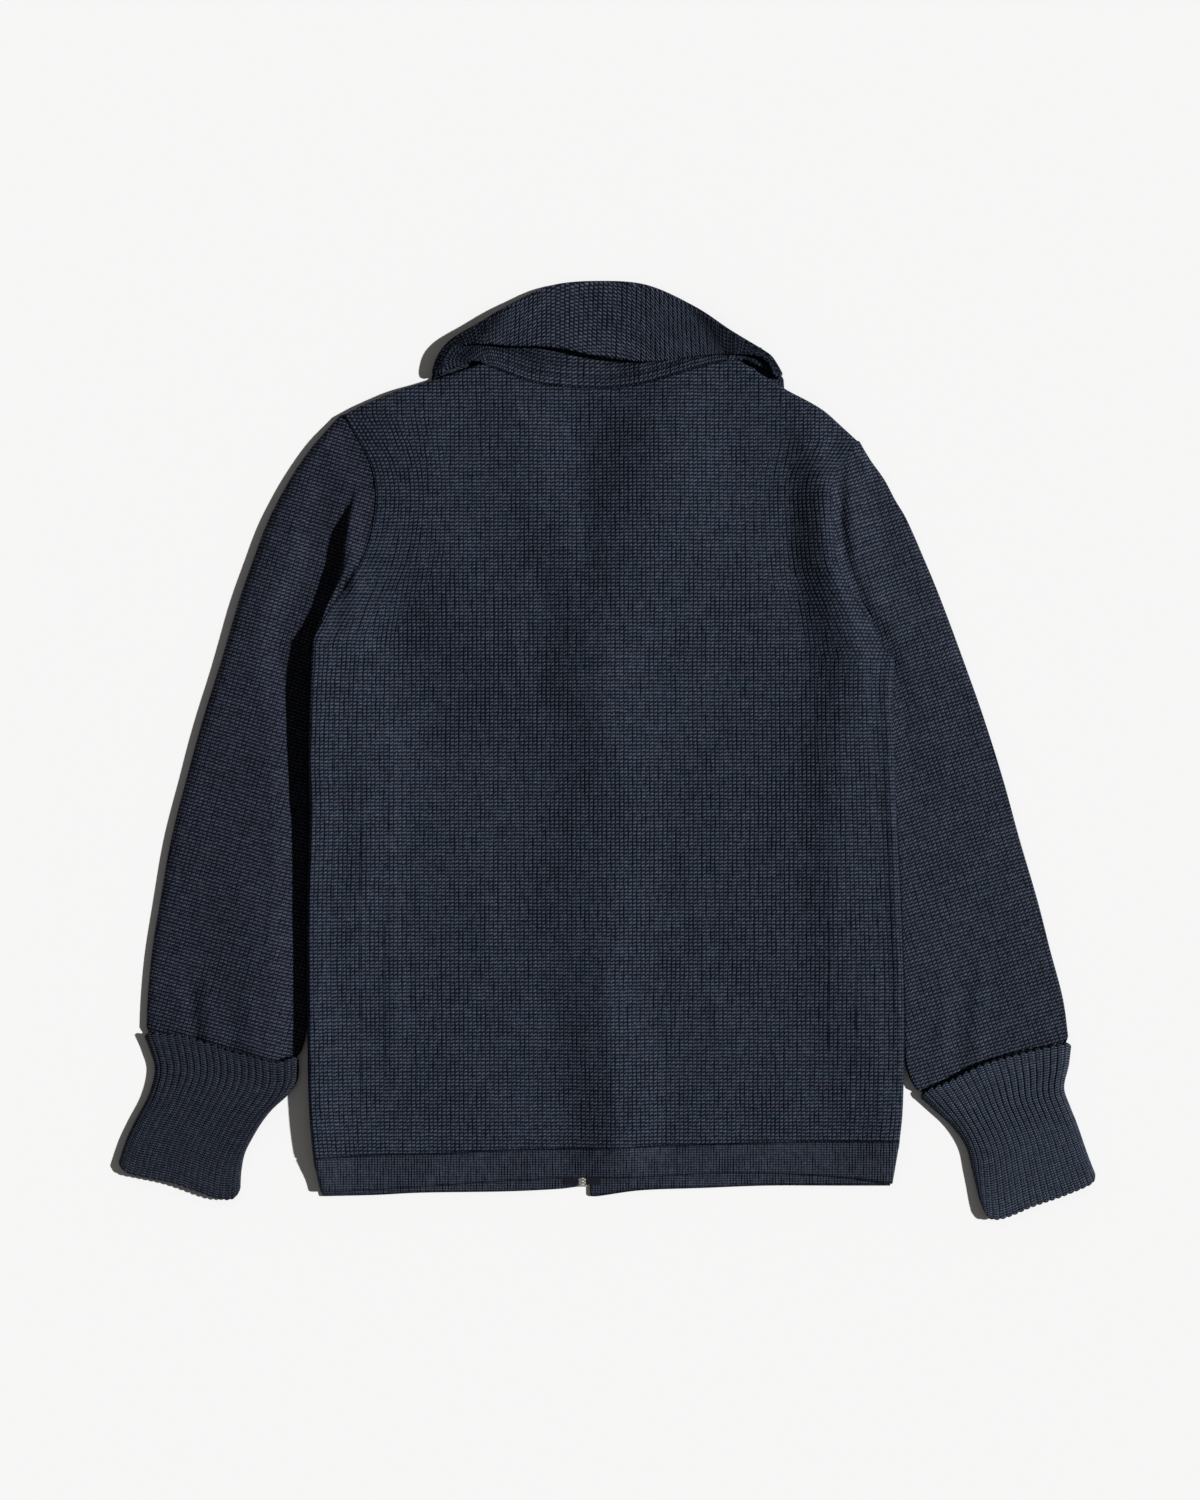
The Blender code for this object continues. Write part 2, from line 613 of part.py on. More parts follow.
# ---- collar -------------------------------------------------------------------------------------
def collar_sections():
    """The middle of the collar's wall: for each place along the neck, points from seam to free edge."""
    columns = np.array(COLLAR, float)
    heights = []
    for row in COLLAR:
        under = front_low(row.seam_x, row.seam_y) + WALL / 2
        over = back_low(row.seam_x, row.seam_y) + WALL / 2
        part = (math.sin(math.radians(row.turn)) + 1) / 2
        heights.append(under + (over - under) * part)
    path = smooth(np.column_stack([columns, heights]), 2)
    sections = []
    for seam_x, seam_y, roll_x, roll_y, roll_z, edge_x, edge_y, edge_z, turn, seam_z in path:
        seam = np.array([seam_x, seam_y, seam_z])
        roll = np.array([roll_x, roll_y, roll_z])
        edge = np.array([edge_x, edge_y, edge_z])
        rise = roll - seam
        rise[2] = 0
        rise /= np.linalg.norm(rise)
        outward = np.array([-rise[1], rise[0], 0.0])
        if outward @ (edge - roll) < 0:
            outward = -outward
        angle = math.radians(turn)
        over = math.cos(angle) * outward + math.sin(angle) * np.array([0, 0, 1.0])
        stand_top, fall_top = roll - FOLD_RADIUS * over, roll + FOLD_RADIUS * over
        stand = [seam + (stand_top - seam) * t for t in (0, 0.04, 0.33, 0.66, 1)]
        bend = []
        for part in (0.25, 0.5, 0.75):
            swing = math.pi * part
            bend.append(roll + FOLD_RADIUS * (-math.cos(swing) * over + math.sin(swing) * rise))
        fall = [fall_top + (edge - fall_top) * t for t in (0, 0.3, 0.6, 0.85, 1)]
        sections.append(stand + bend + fall)
    return np.array(sections)


def build_collar(knit):
    middle = collar_sections()
    along = np.gradient(middle, axis=0)
    over = np.gradient(middle, axis=1)
    normal = np.cross(along, over)
    normal /= np.linalg.norm(normal, axis=2)[:, :, None]
    faces = [middle + normal * WALL / 2, middle - normal * WALL / 2]
    for points in faces:
        points[:, :, 2] = np.maximum(points[:, :, 2], 0)
    two_sided("collar", *faces, knit)


# ---- zip ----------------------------------------------------------------------------------------
def block(name, size, centre, finish_material, bevel=0.0):
    bm = bmesh.new()
    bmesh.ops.create_cube(bm, size=MM)
    bmesh.ops.scale(bm, vec=size, verts=bm.verts)
    bmesh.ops.translate(bm, vec=[MM * value for value in centre], verts=bm.verts)
    if bevel:
        bmesh.ops.bevel(
            bm, geom=bm.edges[:], offset=bevel * MM, segments=1, profile=0.5,
            affect="EDGES", material=-1,
        )
    return finish(name, bm, finish_material, smooth_angle=20)


def rod(name, radius, length, centre, finish_material, sides=16):
    """A round bar along X."""
    bm = bmesh.new()
    bmesh.ops.create_cone(
        bm, cap_ends=True, segments=sides, radius1=radius * MM, radius2=radius * MM, depth=length * MM
    )
    turned = Matrix.Rotation(math.pi / 2, 3, "Y")
    bmesh.ops.rotate(bm, cent=(0, 0, 0), matrix=turned, verts=bm.verts)
    bmesh.ops.translate(bm, vec=[MM * value for value in centre], verts=bm.verts)
    return finish(name, bm, finish_material)


def combine(base, tool, operation):
    cut = base.modifiers.new(operation.lower(), "BOOLEAN")
    cut.operation = operation
    cut.object = tool
    cut.solver = "EXACT"
    tool.hide_render = True
    tool.display_type = "WIRE"


def zip_height(base):
    """A height along the zip, which rises with the fronts where the collar lies under them."""
    def height(x, y):
        return base + front_low(x, y)

    return height


def strip(name, x0, x1, places, low, thick, finish_material):
    """A flat strip along Y that follows the fronts' height."""
    rows = []
    for y in places:
        rows.append([(x, y, low(x, y)) for x in (x0, x1)])
    below = np.array(rows)
    two_sided(name, below + [0, 0, thick], below, finish_material)


def build_zip(tape_cloth, nickel, zip_rows):
    for side, hand, places in (("left", -1, zip_rows[0]), ("right", 1, zip_rows[1])):
        near = ZIP_X + hand * (CHAIN_WIDTH / 2 + 0.3)
        spread = sorted((near, near + hand * TAPE_WIDTH))
        low = zip_height(WALL + TAPE_GAP)
        ends = [CHAIN_END_Y - 8, *places, CHAIN_TOP_Y]
        strip(f"zip_tape_{side}", *spread, ends, low, TAPE_THICK, tape_cloth)
    half = CHAIN_WIDTH / 2
    thick = CHAIN_HIGH - CHAIN_LOW
    low = zip_height(CHAIN_LOW)
    ends = [CHAIN_END_Y, *zip_rows[0], CHAIN_TOP_Y]
    strip("zip_chain", ZIP_X - half, ZIP_X + half, ends, low, thick, nickel)
    box_y = CHAIN_END_Y - 0.3 - ZIP_BOX[1] / 2
    box_z = 4.0 - ZIP_BOX[2] / 2
    block("zip_bottom_box", ZIP_BOX, (ZIP_X, box_y, box_z), nickel, bevel=0.5)

    plate_low = CHAIN_LOW + LEAF_LIFT
    slider_z = plate_low + SLIDER[2] / 2
    slider = block("zip_slider", SLIDER, (ZIP_X, SLIDER_Y, slider_z), nickel, bevel=0.6)
    pivot = (ZIP_X, SLIDER_Y, plate_low - PIVOT_BELOW)
    for hand in (-1, 1):
        centre = (ZIP_X + hand * LUG_X, SLIDER_Y, pivot[2] + 0.3)
        combine(slider, block(f"lug_{hand}", LUG, centre, nickel), "UNION")
    combine(slider, rod("pin_hole", PIN_HOLE_RADIUS, 8, pivot, nickel), "DIFFERENCE")

    drop = -TAB_BELOW_PIN - TAB[2] / 2
    origin = (0, 0, 0)
    tab = rod("pull_tab", BARREL_RADIUS, BARREL_WIDTH, origin, nickel)
    neck_at = (0, -TAB_NECK[1] / 2, drop)
    plate_at = (0, -2.6 - TAB[1] / 2, drop)
    added = (
        rod("pull_tab_pin", PIN_RADIUS, PIN_LENGTH, origin, nickel),
        block("pull_tab_neck", TAB_NECK, neck_at, nickel),
        block("pull_tab_plate", TAB, plate_at, nickel, bevel=0.3),
    )
    for piece in added:
        combine(tab, piece, "UNION")
    for piece in (tab, *added):
        piece.location = [MM * value for value in pivot]
        piece.rotation_euler.x = math.radians(TAB_TILT)


def build():
    for old in list(bpy.data.objects):
        bpy.data.objects.remove(old, do_unlink=True)
    knit = material("navy_wool_knit", (0.022, 0.026, 0.036), 0.95)
    band = material("navy_wool_band", (0.021, 0.025, 0.035), 0.95)
    ribbed = material("navy_wool_rib", (0.020, 0.025, 0.036), 0.95)
    tape_cloth = material("navy_zip_tape", (0.012, 0.014, 0.022), 0.9)
    nickel = material("nickel_plated_brass", (0.55, 0.54, 0.51), 0.32, metallic=1.0)
    zip_rows = build_body(knit, band)
    build_sleeves(knit)
    build_cuffs(ribbed)
    build_collar(knit)
    build_zip(tape_cloth, nickel, zip_rows)


build()
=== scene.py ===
import math
from collections import namedtuple

import bmesh
import bpy
import numpy as np
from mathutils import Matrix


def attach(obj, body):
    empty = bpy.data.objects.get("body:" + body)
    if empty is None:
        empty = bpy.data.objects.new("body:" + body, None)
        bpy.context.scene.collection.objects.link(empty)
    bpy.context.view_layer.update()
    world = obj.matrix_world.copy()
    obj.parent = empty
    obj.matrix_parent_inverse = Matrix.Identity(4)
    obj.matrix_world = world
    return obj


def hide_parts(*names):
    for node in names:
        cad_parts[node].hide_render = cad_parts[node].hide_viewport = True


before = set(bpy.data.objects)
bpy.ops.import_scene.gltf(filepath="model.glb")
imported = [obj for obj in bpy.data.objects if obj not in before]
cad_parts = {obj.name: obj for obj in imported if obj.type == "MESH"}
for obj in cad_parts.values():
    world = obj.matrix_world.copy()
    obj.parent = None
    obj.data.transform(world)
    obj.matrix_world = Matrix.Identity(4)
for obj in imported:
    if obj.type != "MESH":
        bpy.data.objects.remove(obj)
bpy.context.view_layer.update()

# ---- Back panel ---------------------------------------------------------------------------------
# One piece of heavy navy wool rib, knitted to shape on a coarse flat machine and pressed. Its
# wales run up to the neck, bend along the armholes where it was narrowed, and the thick cloth
# shows soft creases where it lies over the collar's two leaves and the zip.
MM = 0.001
WALE = 3.7              # width of one stitch column
COURSE = 3.05           # height of one row of stitches
HALF_WALL = 2.0         # half the cloth's thickness
AIR = 2.2               # between the fronts and the back
LEAST_AIR = 0.5
SIDE_AIR = (4.2, 1.6)   # more of it beside the left and the right side seam
SIDE_AIR_REACH = 22
UNDERARM = 60           # height up the back from which the sides lie closer
HEM_LINE = -340         # below which the back is pressed down to the hem bands
SEAM_HEIGHT = 3.3       # of the back's edge where it is linked to the fronts
SEAM_ROLL = 3.5         # how fast the back rises from there
LEAF_LIFT = 4.7         # how far the collar's leaves lift the cloth that lies on them
LEAF_MARGIN = 13        # how far beyond a leaf the cloth is still lifted in full
FRONT_RAMP = 32         # from there, how far it takes the front to come down to the floor
BACK_RAMP = 64          # and the back, which lies on top
BACK_GRID = (188, 246)  # steps across and up the panel
CHORDS = 12             # of a curve, from one of its points to the next

Spot = namedtuple("Spot", "x y")
Crease = namedtuple("Crease", "x0 y0 x1 y1 width height")
Ridge = namedtuple("Ridge", "x y height west east")

BACK_LEFT_SIDE = [
    Spot(-250, -347), Spot(-254, -297), Spot(-255, -212), Spot(-255, -127),
    Spot(-253, -59), Spot(-254, -8), Spot(-253, 43), Spot(-251, 90),
]
LEFT_ARMHOLE = [
    Spot(-251, 90), Spot(-246, 101), Spot(-235, 120), Spot(-222, 138), Spot(-210, 158),
    Spot(-202, 179), Spot(-198, 202), Spot(-197.5, 222), Spot(-202, 243), Spot(-212, 263),
    Spot(-225, 285),
]
LEFT_SHOULDER = [
    Spot(-225, 285), Spot(-207, 294), Spot(-190, 301), Spot(-171, 308), Spot(-146, 315),
    Spot(-108, 328),
]
NECK = [
    Spot(-108, 328), Spot(-98, 325), Spot(-80, 318), Spot(-62, 312), Spot(-39, 309),
    Spot(-16, 308), Spot(6, 308), Spot(29, 311), Spot(52, 317), Spot(75, 324),
    Spot(94, 329), Spot(111, 332),
]
RIGHT_SHOULDER = [
    Spot(111, 332), Spot(151, 307), Spot(168, 298), Spot(185, 288), Spot(201, 274),
    Spot(213, 263),
]
BACK_RIGHT_SIDE = [
    Spot(249, -332), Spot(252, -297), Spot(253, -212), Spot(250, -127), Spot(246, -42),
    Spot(243, 43), Spot(245, 76),
]
RIGHT_ARMHOLE = [
    Spot(245, 76), Spot(237, 86), Spot(228, 103), Spot(218, 120), Spot(207, 136),
    Spot(198, 152), Spot(194, 171), Spot(192, 196), Spot(190, 218), Spot(194, 235),
    Spot(204, 248), Spot(213, 263),
]
BACK_FOOT = [
    Spot(-250, -347), Spot(-191, -344), Spot(-139, -343), Spot(-88, -340),
    Spot(-36, -339), Spot(58, -336), Spot(174, -333), Spot(249, -332),
]
# outlines of the collar's two leaves, which lie under the fronts
LEFT_LEAF = [
    Spot(-42, 47), Spot(-79, 77), Spot(-120, 133), Spot(-152, 210), Spot(-158, 272),
    Spot(-152, 306), Spot(-99, 334), Spot(-93, 292), Spot(-88, 228), Spot(-61, 153),
    Spot(-37, 92), Spot(-27, 54),
]
RIGHT_LEAF = [
    Spot(1, 47), Spot(36, 77), Spot(80, 130), Spot(120, 206), Spot(146, 268),
    Spot(150, 299), Spot(98, 334), Spot(80, 291), Spot(52, 228), Spot(20, 153),
    Spot(-6, 92), Spot(-15, 54),
]
# ridges that the thick cloth forms as it lies, each from its upper end down, with its reach
# to the left and to the right
BACK_RIDGES = [
    [
        Ridge(170, 275, 3, 28, 24), Ridge(182, 240, 8, 32, 20), Ridge(184, 221, 12, 33, 17),
        Ridge(184, 196, 13.5, 34, 16), Ridge(187, 162, 13.5, 35, 17), Ridge(198, 128, 12, 40, 20),
        Ridge(210, 94, 10, 44, 24), Ridge(213, 60, 9, 46, 28), Ridge(205, 26, 6, 42, 40),
        Ridge(198, -25, 4, 38, 60), Ridge(195, -110, 5, 38, 60), Ridge(199, -178, 3, 36, 60),
        Ridge(218, -229, 3, 54, 40), Ridge(233, -290, 4, 60, 30), Ridge(236, -345, 4, 60, 30),
    ],
    [
        Ridge(-200, 215, 1, 12, 30), Ridge(-206, 190, 4, 14, 40), Ridge(-211, 165, 7, 14, 46),
        Ridge(-213, 128, 6, 18, 46), Ridge(-214, 94, 3, 22, 46), Ridge(-210, 50, 2, 26, 50),
        Ridge(-202, 15, 3, 30, 50), Ridge(-200, -25, 5, 30, 50), Ridge(-203, -76, 4, 28, 36),
        Ridge(-208, -127, 3.5, 26, 40), Ridge(-212, -178, 2.5, 22, 44), Ridge(-214, -240, 0, 20, 44),
    ],
    [
        Ridge(-228, 142, 2, 16, 30), Ridge(-236, 122, 8, 16, 40), Ridge(-243, 106, 10.5, 16, 54),
        Ridge(-248, 90, 11.5, 16, 76), Ridge(-250, 45, 11.5, 16, 82), Ridge(-251, 0, 11, 16, 82),
        Ridge(-252, -60, 8, 16, 76), Ridge(-252, -127, 5, 16, 64), Ridge(-252, -212, 4.5, 16, 60),
        Ridge(-251, -290, 4, 16, 56), Ridge(-248, -350, 2, 16, 50),
    ],
    [
        Ridge(50, 300, 5, 80, 60), Ridge(45, 247, 8, 90, 72), Ridge(36, 208, 10, 100, 84),
        Ridge(22, 162, 9.5, 90, 92), Ridge(10, 128, 8, 70, 84), Ridge(-4, 94, 9, 64, 60),
        Ridge(-8, 60, 9, 60, 48), Ridge(-6, 26, 6, 50, 60), Ridge(7, -50, 5, 70, 60),
        Ridge(-4, -127, 6, 76, 54), Ridge(-2, -178, 5, 60, 50), Ridge(-5, -229, 8, 50, 50),
        Ridge(5, -263, 8, 50, 44), Ridge(11, -297, 8.5, 50, 46), Ridge(6, -345, 8, 46, 46),
    ],
    [
        Ridge(-62, 262, 3, 70, 40), Ridge(-42, 208, 3.5, 80, 30), Ridge(-36, 162, 3, 60, 26),
        Ridge(-28, 128, 0, 50, 26),
    ],
    [
        Ridge(238, 90, 0, 7, 6), Ridge(238.5, 66, 1.4, 7, 5), Ridge(237.5, 43, 1.8, 7, 5),
        Ridge(240.5, -42, 2, 7, 5), Ridge(244.5, -127, 2, 7, 5), Ridge(247.5, -212, 1.8, 7, 5),
        Ridge(249, -266, 1.2, 7, 5), Ridge(249, -300, 0, 7, 5),
    ],
]
BACK_CREASES = [
    Crease(-150, 240, -120, 120, 36, 0.9),
    Crease(-99, 247, -51, 124, 26, -0.8),
    Crease(-120, -60, -90, -190, 44, 0.9),
    Crease(90, -40, 118, -150, 48, 0.8),
    Crease(-140, -230, -96, -320, 40, 0.8),
    Crease(110, -220, 84, -330, 44, 0.7),
    Crease(-184, 20, -180, -285, 12, 1.3),
    Crease(-2, -175, 7, -335, 12, 0.8),
    Crease(-84, 110, -60, 10, 12, 0.7),
    Crease(62, -60, 96, -250, 13, 0.6),
]


def curve(points, steps=CHORDS):
    """A smooth curve through the points, as short chords."""
    rows = np.array(points, float)
    ends = np.vstack([2 * rows[0] - rows[1], rows, 2 * rows[-1] - rows[-2]])
    made = []
    for a, b, c, d in zip(ends, ends[1:], ends[2:], ends[3:]):
        for t in np.arange(steps) / steps:
            bend = (2 * a - 5 * b + 4 * c - d) * t**2 + (3 * b - a - 3 * c + d) * t**3
            made.append(b + 0.5 * ((c - a) * t + bend))
    return np.array(made + [rows[-1]])


def joined(*parts):
    """Smooth curves end to end, with a corner where one stops and the next starts."""
    curves = [curve(part) for part in parts]
    return np.vstack([curves[0]] + [part[1:] for part in curves[1:]])


def run_of(path):
    """How far along the path each of its points is."""
    return np.concatenate([[0], np.cumsum(np.linalg.norm(np.diff(path, axis=0), axis=1))])


def along(path, places):
    """Points on the path, at places from 0 to 1 of its length."""
    run = run_of(path)
    return np.stack([np.interp(places * run[-1], run, column) for column in path.T], axis=-1)


def patch(bottom, top, left, right, across, up):
    """Plan points [row][column] inside four border curves."""
    u, v = across[None, :, None], up[:, None, None]
    low, high = along(bottom, across), along(top, across)
    west, east = along(left, up), along(right, up)
    ruled = (1 - v) * low[None] + v * high[None] + (1 - u) * west[:, None] + u * east[:, None]
    corners = (1 - v) * ((1 - u) * low[0] + u * low[-1]) + v * ((1 - u) * high[0] + u * high[-1])
    return ruled - corners


def shares(length, count, start=(0.25, 0.8, 1.6, 2.6), end=(0.25, 0.8, 1.6, 2.6)):
    """Places from 0 to 1, close together at both ends, where an edge is rounded."""
    near, far = np.array((0, *start)) / length, 1 - np.array((0, *end)) / length
    between = np.linspace(near[-1], far[-1], count - len(start) - len(end) + 1)[1:-1]
    return np.concatenate([near, between, far[::-1]])


def ease(t):
    """From 0 to 1, level at both ends."""
    t = np.clip(t, 0, 1)
    return t * t * (3 - 2 * t)


def bell(t):
    """1 at 0, falling off smoothly to either side."""
    return np.exp(-(t**2))


def away_from(x, y, path):
    """How far each plan point is from a chain of points."""
    a, step = np.array(path, float)[:-1], np.diff(np.array(path, float), axis=0)
    best = np.full(x.shape, 1e9)
    for (ax, ay), (dx, dy) in zip(a, step):
        t = np.clip(((x - ax) * dx + (y - ay) * dy) / (dx * dx + dy * dy + 1e-9), 0, 1)
        best = np.minimum(best, np.hypot(x - ax - t * dx, y - ay - t * dy))
    return best


def inside(x, y, ring):
    """Whether each plan point is inside the ring of points."""
    odd = np.zeros(x.shape, bool)
    for (ax, ay), (bx, by) in zip(ring, np.roll(ring, -1, axis=0)):
        spans = (ay > y) != (by > y)
        odd ^= spans & (x < ax + (y - ay) * (bx - ax) / (by - ay + 1e-9))
    return odd


def leaf_share(x, y, ramp=FRONT_RAMP):
    """1 over the collar's leaves, falling to 0 beyond them."""
    share = np.zeros(x.shape)
    for leaf in (LEFT_LEAF, RIGHT_LEAF):
        ring = curve([*leaf, leaf[0]], 4)
        away = np.where(inside(x, y, ring), 0, away_from(x, y, ring))
        share = np.maximum(share, 1 - ease((away - LEAF_MARGIN) / ramp))
    return share


def creased(x, y, rows):
    """Soft creases, each along a straight line: ridges, or troughs where the height is below 0."""
    total = np.zeros(x.shape)
    for row in rows:
        away = away_from(x, y, [(row.x0, row.y0), (row.x1, row.y1)])
        total += row.height * bell(2 * away / row.width)
    return total


def ridged(x, y, spots):
    """A ridge with its own height and its own reach to either side at each of its spots."""
    nearest, height = np.full(x.shape, 1e9), np.zeros(x.shape)
    for a, b in zip(spots, spots[1:]):
        dx, dy = b.x - a.x, b.y - a.y
        t = np.clip(((x - a.x) * dx + (y - a.y) * dy) / (dx * dx + dy * dy), 0, 1)
        away = np.hypot(x - a.x - t * dx, y - a.y - t * dy)
        is_east = (x - a.x) * dy < (y - a.y) * dx
        reach = np.where(is_east, a.east + (b.east - a.east) * t, a.west + (b.west - a.west) * t)
        here = (a.height + (b.height - a.height) * t) * (1 - ease(away / reach))
        height = np.where(away < nearest, here, height)
        nearest = np.minimum(nearest, away)
    return height


def ripple(x, y, height, seed):
    """The small unevenness of cloth that was laid down by hand."""
    rng = np.random.default_rng(seed)
    total = np.zeros(x.shape)
    for wave in rng.uniform(45, 150, 7):
        turn, start = rng.uniform(0, math.tau, 2)
        total += np.sin((x * math.cos(turn) + y * math.sin(turn)) * math.tau / wave + start)
    return height * total / 3


def edge_round(away, radius=HALF_WALL):
    """How full the wall is at this distance from its edge: 0 at the edge, 1 past the radius."""
    t = 1 - np.clip(away / radius, 0, 1)
    return np.sqrt(1 - t * t)


def mesh_from(name, bm):
    """The mesh of a bmesh, which ends here."""
    mesh = bpy.data.meshes.new(name)
    bm.to_mesh(mesh)
    bm.free()
    return mesh


def put_in_scene(name, mesh, material):
    """An object of this mesh in this material."""
    mesh.materials.append(material)
    made = bpy.data.objects.new(name, mesh)
    bpy.context.collection.objects.link(made)
    return made


def cloth_wall(name, middle, outward, rim, grain, cloth, seams_and_painted_shade=None):
    """A closed wall of cloth between two grids that meet along its rim.

    middle is the wall's middle, outward the way from there to its outer face, rim how full
    the wall is at each place, grain each corner's place in stitches, and the last argument how
    dark the stitches are made: by a linked seam, and by painted shade on the collar and hem bands.
    """
    rows, columns = middle.shape[:2]
    bm = bmesh.new()
    bm.loops.layers.uv.new("grain")
    for side in (0, 1):
        made = bmesh.ops.create_grid(
            bm, x_segments=columns - 1, y_segments=rows - 1, size=0.5, calc_uvs=True
        )
        bmesh.ops.translate(bm, vec=(0, 0, -side), verts=made["verts"])
    mesh = mesh_from(name, bm)

    def grid_place(across, up):
        """Row and column of the grid, from places between 0 and 1."""
        return np.rint(up * (rows - 1)).astype(int), np.rint(across * (columns - 1)).astype(int)

    place = np.empty(len(mesh.vertices) * 3)
    mesh.vertices.foreach_get("co", place)
    place = place.reshape(-1, 3)
    row, column = grid_place(place[:, 0] + 0.5, place[:, 1] + 0.5)
    side = np.where(place[:, 2] > -0.5, 1.0, -1.0)
    full = (side * rim[row, column])[:, None]
    place = MM * (middle[row, column] + full * outward[row, column])
    mesh.vertices.foreach_set("co", place.ravel())
    # how dark each place's stitches are made: a linked seam's row, and painted shade
    darkening = np.zeros(rim.shape) if seams_and_painted_shade is None else seams_and_painted_shade
    mark = mesh.attributes.new("seams_and_painted_shade", "FLOAT", "POINT")
    mark.data.foreach_set("value", darkening[row, column].astype(np.float32))

    layer = mesh.uv_layers["grain"].data
    corner = np.empty(len(layer) * 2)
    layer.foreach_get("uv", corner)
    corner = corner.reshape(-1, 2)
    row, column = grid_place(corner[:, 0], corner[:, 1])
    cell_column = np.repeat(column.reshape(-1, 4).min(axis=1), 4)
    cell_row = np.repeat(row.reshape(-1, 4).min(axis=1), 4)
    layer.foreach_set("uv", grain(row, column, cell_row, cell_column).ravel())

    bm = bmesh.new()
    bm.from_mesh(mesh)
    bmesh.ops.remove_doubles(bm, verts=bm.verts, dist=0.01 * MM)
    bmesh.ops.recalc_face_normals(bm, faces=bm.faces)
    bm.to_mesh(mesh)
    bm.free()
    mesh.shade_smooth()
    piece = put_in_scene(name, mesh, cloth)
    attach(piece, "cardigan")
    return piece


def linear(hex_colour):
    """An sRGB hex colour as linear red, green, blue and alpha."""
    parts = [int(hex_colour[i : i + 2], 16) / 255 for i in (1, 3, 5)]
    return (*[c / 12.92 if c <= 0.04045 else ((c + 0.055) / 1.055) ** 2.4 for c in parts], 1)


def add_node(tree, kind, settings=None, **sockets):
    """A node with its settings; each socket takes a value, an output or a node's first output."""
    made = tree.nodes.new(kind)
    for key, value in (settings or {}).items():
        setattr(made, key, value)
    for key, value in sockets.items():
        socket = made.inputs[int(key[1:]) if key[1:].isdigit() else key.replace("_", " ")]
        if isinstance(value, bpy.types.Node):
            value = value.outputs[0]
        if isinstance(value, bpy.types.NodeSocket):
            tree.links.new(value, socket)
        else:
            socket.default_value = value
    return made


def new_material(name):
    """A material, with its node tree and its surface node."""
    made = bpy.data.materials.new(name)
    made.use_nodes = True
    return made, made.node_tree, made.node_tree.nodes["Principled BSDF"]


